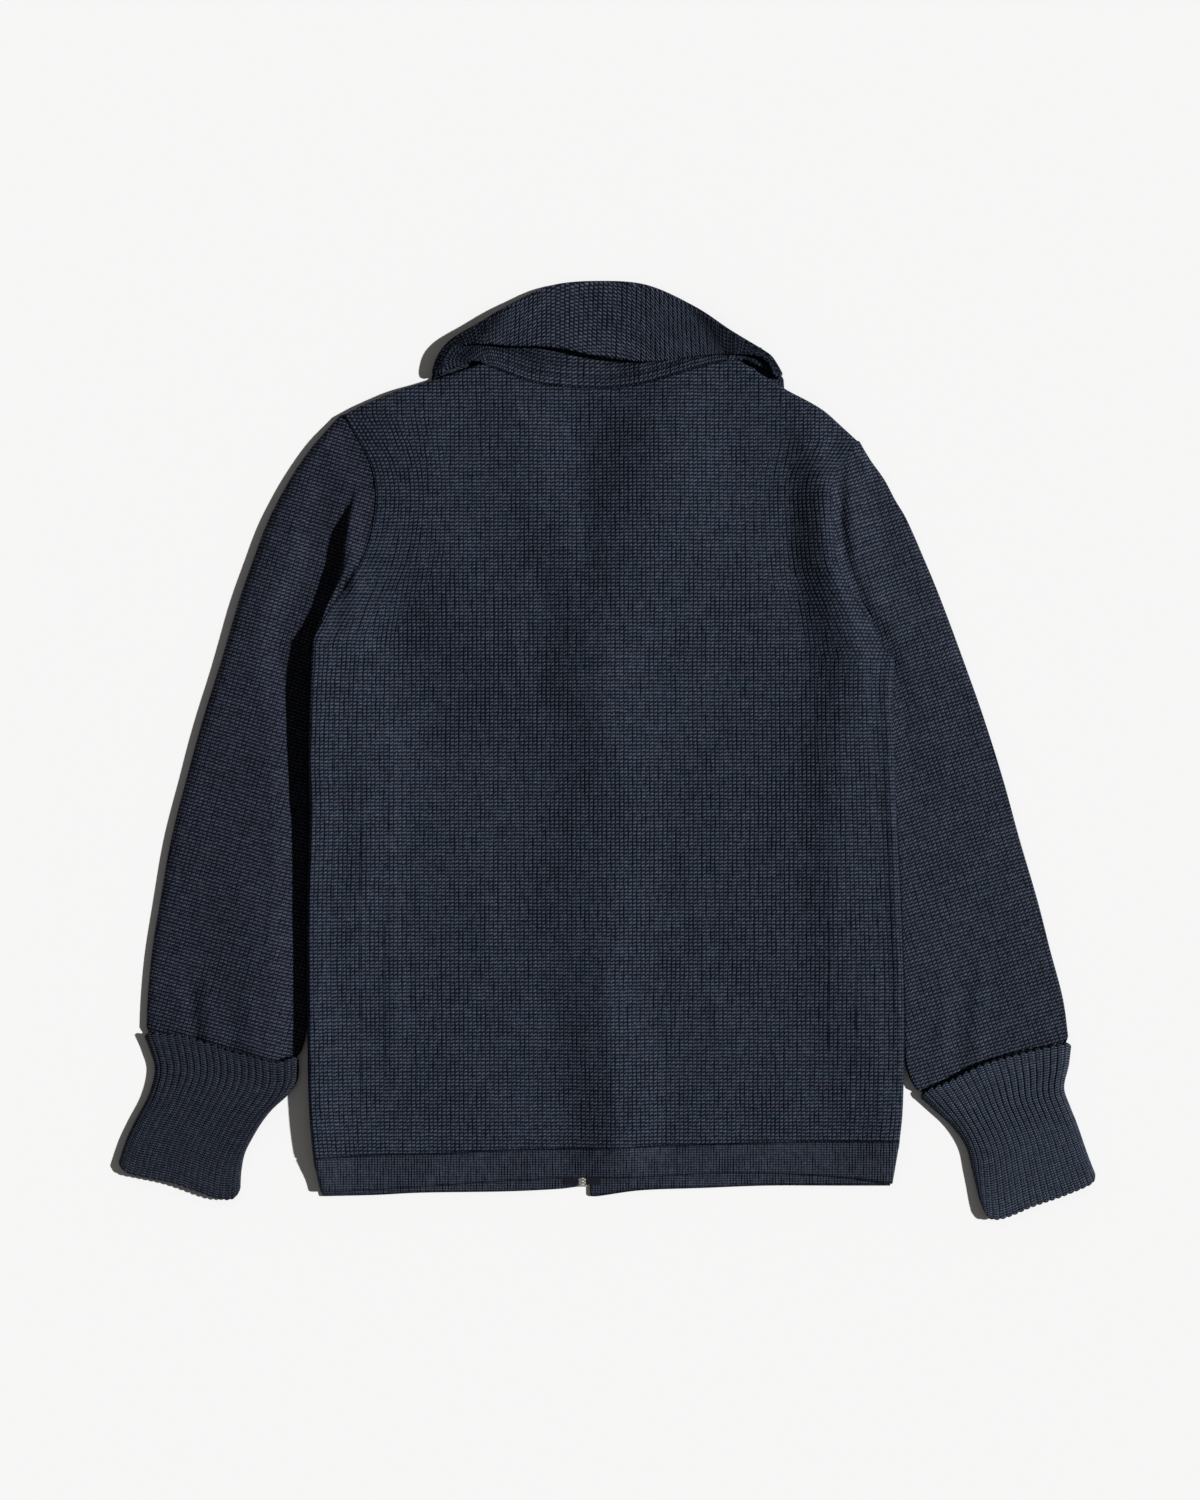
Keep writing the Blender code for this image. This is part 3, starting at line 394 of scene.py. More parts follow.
def wool_knit(name, bright, deep, groove=0.9, hole=1.1, low=0.66, lean=0.35, relief=0.6):
    """Carded navy wool, knitted: matt, slightly hairy yarn with dark gaps between the stitches.

    It reads the grain map, in stitches: the first number counts wales, the second courses.
    bright holds the yarn's two tones and deep the colour of the gaps. groove and hole say how
    dark the gaps between and inside the wales are, low how dark the yarn is between two bars,
    lean how far a bar slants, and relief how high the yarn stands in millimetres.
    """
    narrow = 1.8    # power that makes the gaps narrower than the yarn
    times = {"operation": "MULTIPLY"}
    times_plus = {"operation": "MULTIPLY_ADD"}
    made, tree, surface = new_material(name)
    grain = add_node(tree, "ShaderNodeUVMap", {"uv_map": "grain"})
    noises = []
    # each with its waves to the stitch, across and along the wales, and its detail
    for across, along_wales, detail in (
        (0.5, 0.5, 2.0), (0.9, 0.14, 1.0), (0.035, 0.02, 1.0),
        (2.4, 2.4, 2.0), (0.1, 0.35, 3.0), (0.11, 0.8, 3.0),
    ):
        at = add_node(tree, "ShaderNodeVectorMath", times, _0=grain, _1=(across, along_wales, 1))
        noise = add_node(
            tree, "ShaderNodeTexNoise", Vector=at, Scale=1.0, Detail=detail, Roughness=0.6
        )
        noises.append(noise)
    sway, stretch, region, fibre, streak, blend = noises

    # no two stitches lie quite alike
    swayed = add_node(
        tree, "ShaderNodeVectorMath", times_plus,
        _0=sway.outputs["Color"], _1=(0.4, 0.6, 0), _2=grain,
    )
    split = add_node(tree, "ShaderNodeSeparateXYZ", _0=swayed)
    wale, course = split.outputs["X"], split.outputs["Y"]
    turn = add_node(tree, "ShaderNodeMath", times, _0=wale, _1=math.tau)
    turn = add_node(tree, "ShaderNodeMath", {"operation": "COSINE"}, _0=turn)
    between = add_node(tree, "ShaderNodeMath", times_plus, _0=turn, _1=0.5, _2=0.5)
    between = add_node(tree, "ShaderNodeMath", {"operation": "POWER"}, _0=between, _1=narrow)
    middle = add_node(tree, "ShaderNodeMath", times_plus, _0=turn, _1=-0.5, _2=0.5)
    middle = add_node(tree, "ShaderNodeMath", {"operation": "POWER"}, _0=middle, _1=narrow)
    slant = add_node(tree, "ShaderNodeMath", {"operation": "FRACT"}, _0=wale)
    slant = add_node(tree, "ShaderNodeMath", times_plus, _0=slant, _1=-lean, _2=course)
    rise = add_node(tree, "ShaderNodeMath", times, _0=slant, _1=math.tau)
    rise = add_node(tree, "ShaderNodeMath", {"operation": "COSINE"}, _0=rise)
    rise = add_node(tree, "ShaderNodeMath", times_plus, _0=rise, _1=0.5, _2=0.5)
    # the grooves are more open in some stretches and in some parts of the cloth than in others
    opening = add_node(tree, "ShaderNodeMath", times_plus, _0=stretch, _1=2.0, _2=-0.75)
    opening = add_node(tree, "ShaderNodeMath", times_plus, _0=region, _1=0.9, _2=opening)
    opening = add_node(tree, "ShaderNodeClamp", Value=opening, Min=0.35, Max=1.0)
    wall = add_node(tree, "ShaderNodeMath", times, _0=between, _1=opening)
    wall = add_node(tree, "ShaderNodeMath", times_plus, _0=wall, _1=-groove, _2=1.0)
    gaps = add_node(tree, "ShaderNodeMath", times_plus, _0=middle, _1=0.95, _2=between)
    holes = add_node(tree, "ShaderNodeMath", {"operation": "SUBTRACT"}, _0=1.0, _1=rise)
    holes = add_node(tree, "ShaderNodeMath", times, _0=holes, _1=gaps)
    pit = add_node(tree, "ShaderNodeMath", times_plus, _0=holes, _1=-hole, _2=1.0)
    pit = add_node(tree, "ShaderNodeMath", {"operation": "MAXIMUM"}, _0=pit, _1=0.0)
    bar = add_node(tree, "ShaderNodeMath", times_plus, _0=rise, _1=1.0 - low, _2=low)
    stitch = add_node(tree, "ShaderNodeMath", times, _0=wall, _1=pit)
    stitch = add_node(tree, "ShaderNodeMath", times, _0=stitch, _1=bar)

    # uneven yarn: by the stitch, by the fibre, and by the row
    cell = add_node(tree, "ShaderNodeVectorMath", times, _0=swayed, _1=(2, 1, 1))
    cell = add_node(tree, "ShaderNodeVectorMath", {"operation": "FLOOR"}, _0=cell)
    chance = add_node(tree, "ShaderNodeTexWhiteNoise", Vector=cell).outputs["Value"]
    shade = add_node(tree, "ShaderNodeMath", times_plus, _0=chance, _1=0.5, _2=0.75)
    hairs = add_node(tree, "ShaderNodeMath", times_plus, _0=fibre, _1=1.6, _2=0.2)
    shade = add_node(tree, "ShaderNodeMath", times, _0=shade, _1=hairs)
    rows = add_node(tree, "ShaderNodeMath", times_plus, _0=streak, _1=0.6, _2=0.7)
    shade = add_node(tree, "ShaderNodeMath", times, _0=shade, _1=rows)
    value = add_node(tree, "ShaderNodeMath", times, _0=stitch, _1=shade)
    # a linked seam shows as a row of dark dashes, one to the wale; painted shade read from the same
    # attribute darkens the yarn in the same way
    seam = add_node(tree, "ShaderNodeAttribute", {"attribute_name": "seams_and_painted_shade"}).outputs["Fac"]
    dash = add_node(tree, "ShaderNodeMath", times_plus, _0=middle, _1=-0.75, _2=-0.25)
    dashes = add_node(tree, "ShaderNodeMath", times_plus, _0=seam, _1=dash, _2=1.0)
    value = add_node(tree, "ShaderNodeMath", times, _0=value, _1=dashes)
    tint = add_node(tree, "ShaderNodeValToRGB", Fac=blend)
    for stop, place, hex_colour in zip(tint.color_ramp.elements, (0.35, 0.65), bright):
        stop.position, stop.color = place, linear(hex_colour)
    colour = add_node(
        tree, "ShaderNodeMix", {"data_type": "RGBA", "clamp_factor": False},
        _0=value, _6=linear(deep), _7=tint,
    )
    tree.links.new(colour.outputs[2], surface.inputs["Base Color"])
    raised = add_node(tree, "ShaderNodeMath", times_plus, _0=fibre, _1=0.4, _2=stitch)
    bump = add_node(tree, "ShaderNodeBump", Strength=1.0, Distance=relief * MM, Height=raised)
    tree.links.new(bump.outputs[0], surface.inputs["Normal"])
    shine = add_node(tree, "ShaderNodeMath", times, _0=value, _1=0.3)
    tree.links.new(shine.outputs[0], surface.inputs["Specular IOR Level"])
    surface.inputs["Roughness"].default_value = 0.8
    return made


# the body's yarn mixes blue-grey and violet-grey fibres, and pressing left it matt
body_knit = wool_knit("navy_wool_rib_knit", ("#394556", "#3c4152"), "#010205")
LEFT_BORDER = joined(BACK_LEFT_SIDE, LEFT_ARMHOLE)
RIGHT_BORDER = joined(BACK_RIGHT_SIDE, RIGHT_ARMHOLE)
SEAMS = (
    curve([Spot(-244, -376), *BACK_LEFT_SIDE], 3), curve([Spot(243, -369), *BACK_RIGHT_SIDE], 3),
    curve(LEFT_SHOULDER, 4), curve(RIGHT_SHOULDER, 4),
)


def back_middle(x, y):
    """Height of the middle of the back's wall, which lies on the fronts."""
    share = leaf_share(x, y, BACK_RAMP)
    sides = (away_from(x, y, SEAMS[0]), away_from(x, y, SEAMS[1]))
    puff = sum(air * bell(away / SIDE_AIR_REACH) for air, away in zip(SIDE_AIR, sides))
    air = AIR + puff * (1 - ease((y - UNDERARM) / 60)) + ripple(x, y, 0.3, 3)
    air = air + creased(x, y, BACK_CREASES) + sum(ridged(x, y, spots) for spots in BACK_RIDGES)
    air = np.maximum(LEAST_AIR, air * (1 - 0.6 * ease((HEM_LINE - y) / 30)))
    full = 2 * HALF_WALL + LEAF_LIFT * share + air + HALF_WALL
    seam = SEAM_HEIGHT + LEAF_LIFT * leaf_share(x, y)
    away = np.minimum.reduce([*sides, *(away_from(x, y, path) for path in SEAMS[2:])])
    return seam + (full - seam) * edge_round(away, SEAM_ROLL)


def panel(name, plan, height, rim, grain, cloth, seams_and_painted_shade=None):
    """A flat-lying piece of cloth: its middle is at this height over each plan point."""
    middle = np.dstack([plan, height])
    outward = np.zeros(middle.shape)
    outward[:, :, 2] = HALF_WALL
    return cloth_wall(name, middle, outward, rim, grain, cloth, seams_and_painted_shade)


def dark_rows(away, *rows):
    """1 along each row, this far from the edge, and 0 away from it: the rows of linked seams, and the
    painted shade at a hem band's foot.
    """
    return sum(depth * bell((away - place) / 0.9) for place, depth in rows)


def rim_of(plan):
    """How full the wall is, from each place's distance to the panel's four edges."""
    up, across = np.diff(plan, axis=0), np.diff(plan, axis=1)
    up = np.linalg.norm(up, axis=2).cumsum(axis=0)
    across = np.linalg.norm(across, axis=2).cumsum(axis=1)
    up = np.vstack([np.zeros(plan.shape[1]), up])
    across = np.hstack([np.zeros((plan.shape[0], 1)), across])
    away = np.minimum(np.minimum(up, up[-1] - up), np.minimum(across, across[:, -1:] - across))
    return edge_round(away)


def fashioned_grain(plan, height, left, right):
    """Wales run straight up, but follow the armhole in a band beside it and half follow it
    in the next, as they do where stitches were moved in to narrow the panel."""
    x, y = plan[:, :, 0], plan[:, :, 1]
    cloth_run = np.hypot(np.diff(x, axis=1), np.diff(height, axis=1)).cumsum(axis=1)
    cloth_run = np.hstack([np.zeros((len(x), 1)), cloth_run])
    centre = x.shape[1] // 2
    spread = cloth_run - cloth_run[:, [centre]] + x[:, [centre]]
    west = np.interp(y, left[:, 1], left[:, 0])
    east = np.interp(y, right[:, 1], right[:, 0])
    shift_west, shift_east = west - left[0, 0], east - right[0, 0]
    gap_west, gap_east = x - west, east - x

    def grain(row, column, cell_row, cell_column):
        moved = 0
        for gap, shift in ((gap_west, shift_west), (gap_east, shift_east)):
            near = gap[cell_row, cell_column]
            follow = np.select([near < 22, near < 44, near < 66], [1, 0.62, 0.28], 0)
            moved = moved + follow * shift[row, column]
        return np.column_stack([(spread[row, column] - moved) / WALE, y[row, column] / COURSE])

    return grain


side_steps = (0.25, 0.7, 1.2, 1.8, 2.5, 3.3, 4.3, 5.6)
across = shares(500, BACK_GRID[0], side_steps, side_steps)
up = shares(680, BACK_GRID[1], end=(0.25, 0.8, 1.6, 2.6, 4, 5.5, 7.5, 10))
plan = patch(
    curve(BACK_FOOT), joined(LEFT_SHOULDER, NECK, RIGHT_SHOULDER), LEFT_BORDER, RIGHT_BORDER,
    across, up,
)
x, y = plan[:, :, 0], plan[:, :, 1]
from_left, from_right = (away_from(x, y, curve(path, 4)) for path in (LEFT_ARMHOLE, RIGHT_ARMHOLE))
from_ends = np.minimum(away_from(x, y, curve(NECK, 4)), away_from(x, y, curve(BACK_FOOT, 4)))
height = back_middle(x, y)
marks = dark_rows(from_left, (0.5, 1)) + dark_rows(from_right, (0.4, 0.5))
marks += dark_rows(from_ends, (0.2, 1))
grain = fashioned_grain(plan, height, LEFT_BORDER, RIGHT_BORDER)
back = panel("knit_back", plan, height, rim_of(plan), grain, body_knit, marks)
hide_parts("back")

# ---- Fronts -------------------------------------------------------------------------------------
# Two panels of the same knit, face down on the floor, cut away to a deep V for the collar.
# They are linked to the back at the sides and shoulders and sewn to the zip at the centre.
FRONT_INNER_LEFT = [Spot(-26.2, y) for y in (-351, -150, 0, 40)]
FRONT_INNER_RIGHT = [Spot(-14.5, y) for y in (-336, -150, 0, 40)]
LEFT_V_EDGE = [
    Spot(-26.2, 40), Spot(-34.6, 51), Spot(-49.6, 88), Spot(-80.6, 147), Spot(-109.6, 224),
    Spot(-114.6, 285), Spot(-110.6, 316), Spot(-109.6, 327),
]
RIGHT_V_EDGE = [
    Spot(-14.5, 40), Spot(-7.4, 51), Spot(7.6, 88), Spot(39.6, 147), Spot(73.6, 224),
    Spot(101.6, 285), Spot(106.6, 318), Spot(112.6, 331),
]


def front_lift(x, y):
    """The floor's height under a front: it lies on the collar's leaves, or on the floor."""
    return LEAF_LIFT * leaf_share(x, y)


def front_panel(name, node, side, armhole, shoulder, centre, v_edge):
    """One front, from its side seam and armhole to its edge at the zip and the V edge."""
    start = Spot(side[0].x, centre[0].y)
    outer = joined([start, *side[1:]], armhole)
    bottom = np.array([start, centre[0]], float)
    top = curve([*shoulder[:-1], v_edge[-1]])
    plan = patch(bottom, top, outer, joined(centre, v_edge), shares(230, 72), shares(680, 170))
    middle = front_lift(plan[:, :, 0], plan[:, :, 1]) + HALF_WALL

    def grain(row, column, *cell):
        return plan[row, column] / (WALE, COURSE)

    made = panel(name, plan, middle, rim_of(plan), grain, body_knit)
    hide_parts(node)


front_panel(
    "knit_front_left", "front_left", BACK_LEFT_SIDE, LEFT_ARMHOLE, LEFT_SHOULDER,
    FRONT_INNER_LEFT, LEFT_V_EDGE,
)
front_panel(
    "knit_front_right", "front_right", BACK_RIGHT_SIDE, RIGHT_ARMHOLE, RIGHT_SHOULDER[::-1],
    FRONT_INNER_RIGHT, RIGHT_V_EDGE,
)

# ---- Hem bands ----------------------------------------------------------------------------------
# A narrow band of finer, denser knit on each panel's lower edge, linked on loop by loop. The
# back's band lies a little short, so the fronts' bands show below it.
HEM_FOOT = [
    Spot(-244, -375.5), Spot(-211, -375), Spot(-139, -370.5), Spot(-88, -367),
    Spot(-27, -364), Spot(38, -363), Spot(97, -360), Spot(156, -361), Spot(204, -364),
    Spot(243, -369),
]
LEFT_HEM_FOOT = [
    Spot(-242, -380), Spot(-198, -379), Spot(-157, -377), Spot(-88, -376),
    Spot(-44, -374), Spot(-26.2, -372),
]
RIGHT_HEM_FOOT = [
    Spot(-14.5, -379), Spot(-8, -380), Spot(29, -375), Spot(82, -373),
    Spot(136, -371), Spot(194, -371), Spot(241, -371),
]
BAND_WIDTH = 29
BAND_OVERLAP = 0.35     # the band is linked onto the edge of the panel
BAND_WALE = 2.4
BAND_COURSE = 2.1
# knitted tight on finer needles, so it is smooth and its wales show as thin dark lines
band_knit = wool_knit(
    "navy_wool_hem_band", ("#384151", "#3b3f4e"), "#010205",
    groove=1.1, hole=0.9, low=0.8, relief=0.35,
)


def hem_band(name, node, top, foot, height, columns):
    """A band from the panel's edge down to its foot, at this height over each plan point."""
    west, east = np.array([top[0], foot[0]]), np.array([top[-1], foot[-1]])
    across, down = shares(np.ptp(top[:, 0]), columns), shares(BAND_WIDTH, 36)
    plan = patch(top, foot, west, east, across, down)
    middle = height(plan[:, :, 0], plan[:, :, 1])
    below = np.broadcast_to((BAND_WIDTH * down)[:, None], middle.shape)
    # a linked seam's row at the top, and a row of painted shade along the band's foot, standing in
    # for the dark line under its edge
    marks = dark_rows(below, (0.6, 0.85), (28.3, 1))

    def grain(row, column, *cell):
        return plan[row, column] / (BAND_WALE, BAND_COURSE)

    made = panel(name, plan, middle, rim_of(plan), grain, band_knit, marks)
    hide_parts(node)


def front_hem_middle(x, y):
    """The fronts' bands lie flat on the floor."""
    return np.full(x.shape, HALF_WALL)


hem_band(
    "knit_hem_back", "hem_back", curve(BACK_FOOT) + [0, BAND_OVERLAP], curve(HEM_FOOT), back_middle,
    220,
)
for name, node, start, end, foot, flat, area in (
    (
        "knit_hem_front_left", "hem_front_left", (-250, -351.5), (-26.2, -351.5),
        LEFT_HEM_FOOT, (0.224, 0.0285), 0.0058,
    ),
    (
        "knit_hem_front_right", "hem_front_right", (249, -336.5), (-14.5, -336.5),
        RIGHT_HEM_FOOT[::-1], (0.2635, 0.0435), 0.0098,
    ),
):
    top = np.array([start, end], float)
    hem_band(name, node, top, curve(foot), front_hem_middle, 110)

# ---- Sleeves ------------------------------------------------------------------------------------
# Set-in sleeves of the body's knit, each a tube closed by one seam, linked into the armhole and
# pressed flat as they lie. Spare cloth stands up in a ridge beside the lower armhole.
LEFT_SLEEVE_OUTER = [
    Spot(-226, 286), Spot(-238, 273), Spot(-254, 254), Spot(-270, 230), Spot(-288, 196),
    Spot(-301, 162), Spot(-313, 128), Spot(-328, 77), Spot(-344, 26), Spot(-358, -25),
    Spot(-371, -76), Spot(-380, -127), Spot(-387, -170), Spot(-391, -212), Spot(-392, -241),
]
LEFT_SLEEVE_INNER = [
    Spot(-251.6, 86), Spot(-253.4, 43), Spot(-254.4, -8), Spot(-253.6, -59), Spot(-255.4, -127),
    Spot(-255.6, -200), Spot(-255.6, -238), Spot(-261, -260),
]
LEFT_SLEEVE_END = [
    Spot(-392, -241), Spot(-371, -242), Spot(-354, -245), Spot(-338, -250), Spot(-320, -256),
    Spot(-303, -260), Spot(-290, -264), Spot(-278, -265), Spot(-264, -260),
]
RIGHT_SLEEVE_OUTER = [
    Spot(214, 264), Spot(224, 247), Spot(236, 230), Spot(245, 213), Spot(255, 196),
    Spot(270, 162), Spot(284, 128), Spot(303, 77), Spot(321, 26), Spot(337, -25),
    Spot(351, -76), Spot(366, -127), Spot(377, -170), Spot(388, -212), Spot(393, -249),
]
RIGHT_SLEEVE_INNER = [
    Spot(243.8, 74), Spot(242, 43), Spot(245, -42), Spot(249, -127), Spot(252, -212),
    Spot(253.5, -266), Spot(264, -292),
]
RIGHT_SLEEVE_END = [
    Spot(393, -249), Spot(377, -252), Spot(359, -256), Spot(340, -261), Spot(317, -268),
    Spot(290, -282), Spot(268, -291),
]
LEFT_SLEEVE_CREASES = [
    Crease(-241, 219, -254, 180, 26, -1.6),
    Crease(-262, 215, -295, 120, 34, 1.2),
    Crease(-335, -36, -275, -44, 22, -1.3),
    Crease(-330, -5, -285, -12, 34, 0.9),
    Crease(-366, -196, -362, -240, 16, 0.9),
    Crease(-353, -206, -350, -246, 12, -1.5),
    Crease(-341, -200, -338, -250, 14, 1.1),
    Crease(-322, -216, -318, -254, 12, -0.9),
    Crease(-304, -210, -302, -258, 15, 1.0),
    Crease(-310, -120, -305, -210, 40, 0.9),
]
RIGHT_SLEEVE_CREASES = [
    Crease(262, 180, 292, 70, 36, 1.0),
    Crease(268, 110, 262, -40, 34, -1.1),
    Crease(330, -60, 290, -120, 36, 0.9),
    Crease(345, -110, 300, -190, 34, -1.0),
    Crease(288, -190, 284, -262, 14, 0.9),
    Crease(303, -184, 299, -266, 12, -1.3),
    Crease(318, -176, 315, -258, 15, 1.3),
    Crease(334, -206, 332, -254, 13, -0.9),
    Crease(352, -196, 350, -250, 18, 0.8),
]
LEFT_SLEEVE_RIDGE = [
    Ridge(-208, 224, 0, 6, 12), Ridge(-215, 206, 5, 6, 14), Ridge(-219, 190, 10, 6, 16),
    Ridge(-222, 170, 13, 6, 16), Ridge(-225, 145, 14, 6, 14), Ridge(-233, 125, 13, 6, 12),
    Ridge(-240, 112, 11, 6, 9), Ridge(-248, 97, 7, 6, 6), Ridge(-252, 84, 3, 6, 6),
]
LEFT_VALLEY = [
    Spot(-229, 208), Spot(-236, 184), Spot(-240, 163), Spot(-247, 143), Spot(-256, 124),
    Spot(-263, 112), Spot(-268, 97), Spot(-268, 82), Spot(-264, 58), Spot(-260, 27),
]
RIGHT_SLEEVE_RIDGE = [
    Ridge(204, 250, 0, 10, 20), Ridge(206, 228, 3.5, 12, 26), Ridge(207, 195, 5.5, 12, 26),
    Ridge(212, 160, 5, 14, 30), Ridge(230, 120, 3.5, 16, 36), Ridge(252, 90, 3, 16, 38),
    Ridge(268, 40, 2, 18, 36), Ridge(276, -30, 0, 18, 36),
]
SLEEVE_TOP = {-1: 13.0, 1: 7.7}     # its height beside the body, left and right
SLEEVE_SLOPE = 0.03     # at which it gets lower towards the outer fold
SLEEVE_WALE = 0.96 * WALE
SLEEVE_WALL = 2.6
SEAM_TUCK = 1.2         # of the sleeve under the edge of the armhole
ARMHOLE_LEVEL = 3       # from the armhole, how far the sleeve's top stays level with the back
ARMHOLE_REACH = 24      # and from there, how far it takes to come to its own height
VALLEY = 7.4            # how far the sleeve is pressed down past the ridge and beside the body
VALLEY_HALF = 6         # half the width of the valley's bottom, and how wide its sides are
VALLEY_SIDE = 26
VALLEY_TOP = 215        # how far up the garment it starts
FOLD_HEIGHT = 4.6       # at which the upper and the lower layer meet
OUTER_ROLL = 10.0       # how far in from its outer fold the upper layer is rounded
FLOOR_ROLL = 5.0        # and the lower layer at both folds
LEAST_HOLLOW = 0.3      # height of the hollow where the tube is pressed flattest
FOLD_GAP = 1.0          # from the wall at a fold to where the hollow starts
CUFF_OVERLAP = 9.0      # of the sleeve's end inside the cuff
TAIL = 5.0              # length of the end that is drawn in there
TAIL_TUCK = 2.5         # how far it is drawn in at each fold, from above and from below
TAIL_DROP = 2.4
TAIL_LIFT = 3.4
LEFT_LEAN = 16.0        # degrees that the wales lean outwards, towards the cuff
RIGHT_LEAN = 17.0
OPENING_SPLIT = 5       # armhole point, from the underarm, where the sleeve's opening ends
TUBE_STEPS = 80         # from fold to fold


def beside(path, distance):
    """The path moved sideways, to its left for a positive distance."""
    way = np.gradient(path, axis=0)
    way /= np.linalg.norm(way, axis=1)[:, None]
    return path + distance * np.column_stack([-way[:, 1], way[:, 0]])


def both_layers(count):
    """Places round a flat tube, closer at its folds: over the top, then back along the floor."""
    even = np.linspace(0, 1, count + 1)
    top = 0.45 * even + 0.55 * (0.5 - 0.5 * np.cos(math.pi * even))
    return np.concatenate([top, top[-2::-1]])


def pressed_tube(plan, top, share, count, inner_roll, ribs=None, tail=None):
    """Middle and outward grids of a tube pressed flat on the floor.

    plan holds rows from the outer fold to the inner one, and top gives the upper face's height.
    share holds the places round the tube, of which the first count + 1 lie on top. inner_roll
    is how far in from the inner fold the upper layer is rounded, ribs gives how far ribs stand
    out, and tail says how far each row is drawn in.
    """
    middle, outward = [], []
    on_top = np.arange(len(share)) <= count
    folds = [0, count, -1]
    places = np.linspace(0, 1, len(plan))
    for row, drawn, place in zip(plan, 0 * places if tail is None else tail, places):
        run = run_of(row)
        width = run[-1]

        def face(inset, wall):
            """The tube's outer face, or with a wall the face inside it, along this row."""
            distance = inset + (width - 2 * inset) * share
            x, y = np.interp(distance, run, row[:, 0]), np.interp(distance, run, row[:, 1])
            far = width - distance
            from_fold = np.minimum(distance, far)
            crown = np.minimum(edge_round(distance, OUTER_ROLL), edge_round(far, inner_roll))
            high = FOLD_HEIGHT + (top(x, y) - FOLD_HEIGHT) * crown
            low = FOLD_HEIGHT * (1 - edge_round(from_fold, FLOOR_ROLL))
            if ribs and not wall:
                ridge = ribs(share, from_fold, place)
                high, low = high + ridge[0], low + ridge[1]
            high = np.maximum(high, 2 * SLEEVE_WALL + LEAST_HOLLOW) - wall
            low = wall if wall else low
            z = np.where(on_top, high - TAIL_DROP * drawn, low + TAIL_LIFT * drawn)
            return np.column_stack([x, y, z])

        tuck = TAIL_TUCK * drawn
        outer, inner = face(tuck, 0), face(SLEEVE_WALL + FOLD_GAP + tuck, SLEEVE_WALL)
        outer[folds, 2] = FOLD_HEIGHT + drawn
        inner[folds, 2] = SLEEVE_WALL + 0.2 + 3 * drawn
        middle.append((outer + inner) / 2)
        outward.append((outer - inner) / 2)
    return np.array(middle), np.array(outward)


def end_rim(plan, columns):
    """How full a tube's wall is, from the distance to its two ends."""
    run = run_of(plan.mean(axis=1))
    away = np.minimum(run, run[-1] - run)
    return np.repeat(edge_round(away)[:, None], columns, axis=1)


def sleeve(name, node, armhole, outer, inner, end, hand, creases, lean, cloth):
    """A whole sleeve; its hand is -1 on the left of the picture and 1 on the right."""
    edge = beside(curve(armhole)[::-1], -hand * SEAM_TUCK)
    corner = CHORDS * (len(armhole) - 1 - OPENING_SPLIT)
    start = np.vstack([[outer[0]], edge[2 : corner + 1]])
    fold = np.vstack([edge[corner:-3], curve(inner)])
    turn = math.radians(hand * lean)
    wale_way = np.array([math.cos(turn), math.sin(turn)])
    course_way = np.array([-math.sin(turn), math.cos(turn)])
    share = both_layers(TUBE_STEPS)
    foot = curve(end) - CUFF_OVERLAP * course_way
    plan = patch(start, foot, curve(outer), fold, np.linspace(0, 1, 90), shares(560, 210))
    seam = curve(armhole, 3)
    body_side = np.vstack([seam[::-1], curve(inner, 3)])
    valley = [*LEFT_VALLEY, *inner[3:]]

    def top(x, y):
        height = SLEEVE_TOP[hand] - SLEEVE_SLOPE * away_from(x, y, body_side)
        height += creased(x, y, creases) + ripple(x, y, 0.25, 5 if hand < 0 else 8)
        # from a little above the underarm, it is nearly as high as the back at the armhole
        from_seam = away_from(x, y, seam)
        near = 1 - ease((from_seam - ARMHOLE_LEVEL) / ARMHOLE_REACH)
        near *= ease((y - armhole[0].y - 15) / 40)
        is_near = from_seam.min() < ARMHOLE_LEVEL + ARMHOLE_REACH
        back_top = back_middle(x, y) + HALF_WALL if is_near else height
        height += near * (back_top - 1.0 - height)
        if hand > 0:
            height += ridged(x, y, RIGHT_SLEEVE_RIDGE)
        else:
            pressed = 1 - ease((away_from(x, y, valley) - VALLEY_HALF) / VALLEY_SIDE)
            height -= VALLEY * pressed * ease((VALLEY_TOP - y) / 50)
            height += ridged(x, y, LEFT_SLEEVE_RIDGE)
        # right at the seam it stays under the back's upper face
        below_edge = back_top - 0.8 + 3 * np.maximum(0, from_seam - 2.5)
        return np.minimum(height, np.where(from_seam < 8, below_edge, 99))

    run = run_of(plan.mean(axis=1))
    tail = ease((run - run[-1] + TAIL) / TAIL)
    middle, outward = pressed_tube(plan, top, share, TUBE_STEPS, 2.2, tail=tail)

    def grain(row, column, *cell):
        at = middle[row, column, :2]
        return np.column_stack([at @ wale_way / SLEEVE_WALE, at @ course_way / COURSE])

    made = cloth_wall(name, middle, outward, end_rim(plan, len(share)), grain, cloth)
    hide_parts(node)


# the body's yarn with softer grooves, and a little lighter on the right than on the left
# painted shade and painted light: the left sleeve's colours are darker than the body's, the right's
# lighter, for how each takes the lamp's light
left_sleeve_knit_painted_shade = wool_knit(
    "navy_wool_left_sleeve_painted_shade", ("#353d4e", "#383a4a"), "#010205", groove=0.65, low=0.56
)
right_sleeve_knit_painted_light = wool_knit(
    "navy_wool_right_sleeve_painted_light", ("#3c4758", "#3f4353"), "#010205", groove=0.65, low=0.56
)
sleeve(
    "knit_sleeve_left", "sleeve_left", LEFT_ARMHOLE, LEFT_SLEEVE_OUTER, LEFT_SLEEVE_INNER,
    LEFT_SLEEVE_END, -1, LEFT_SLEEVE_CREASES, LEFT_LEAN, left_sleeve_knit_painted_shade,
)
sleeve(
    "knit_sleeve_right", "sleeve_right", RIGHT_ARMHOLE, RIGHT_SLEEVE_OUTER, RIGHT_SLEEVE_INNER,
    RIGHT_SLEEVE_END, 1, RIGHT_SLEEVE_CREASES, RIGHT_LEAN, right_sleeve_knit_painted_light,
)

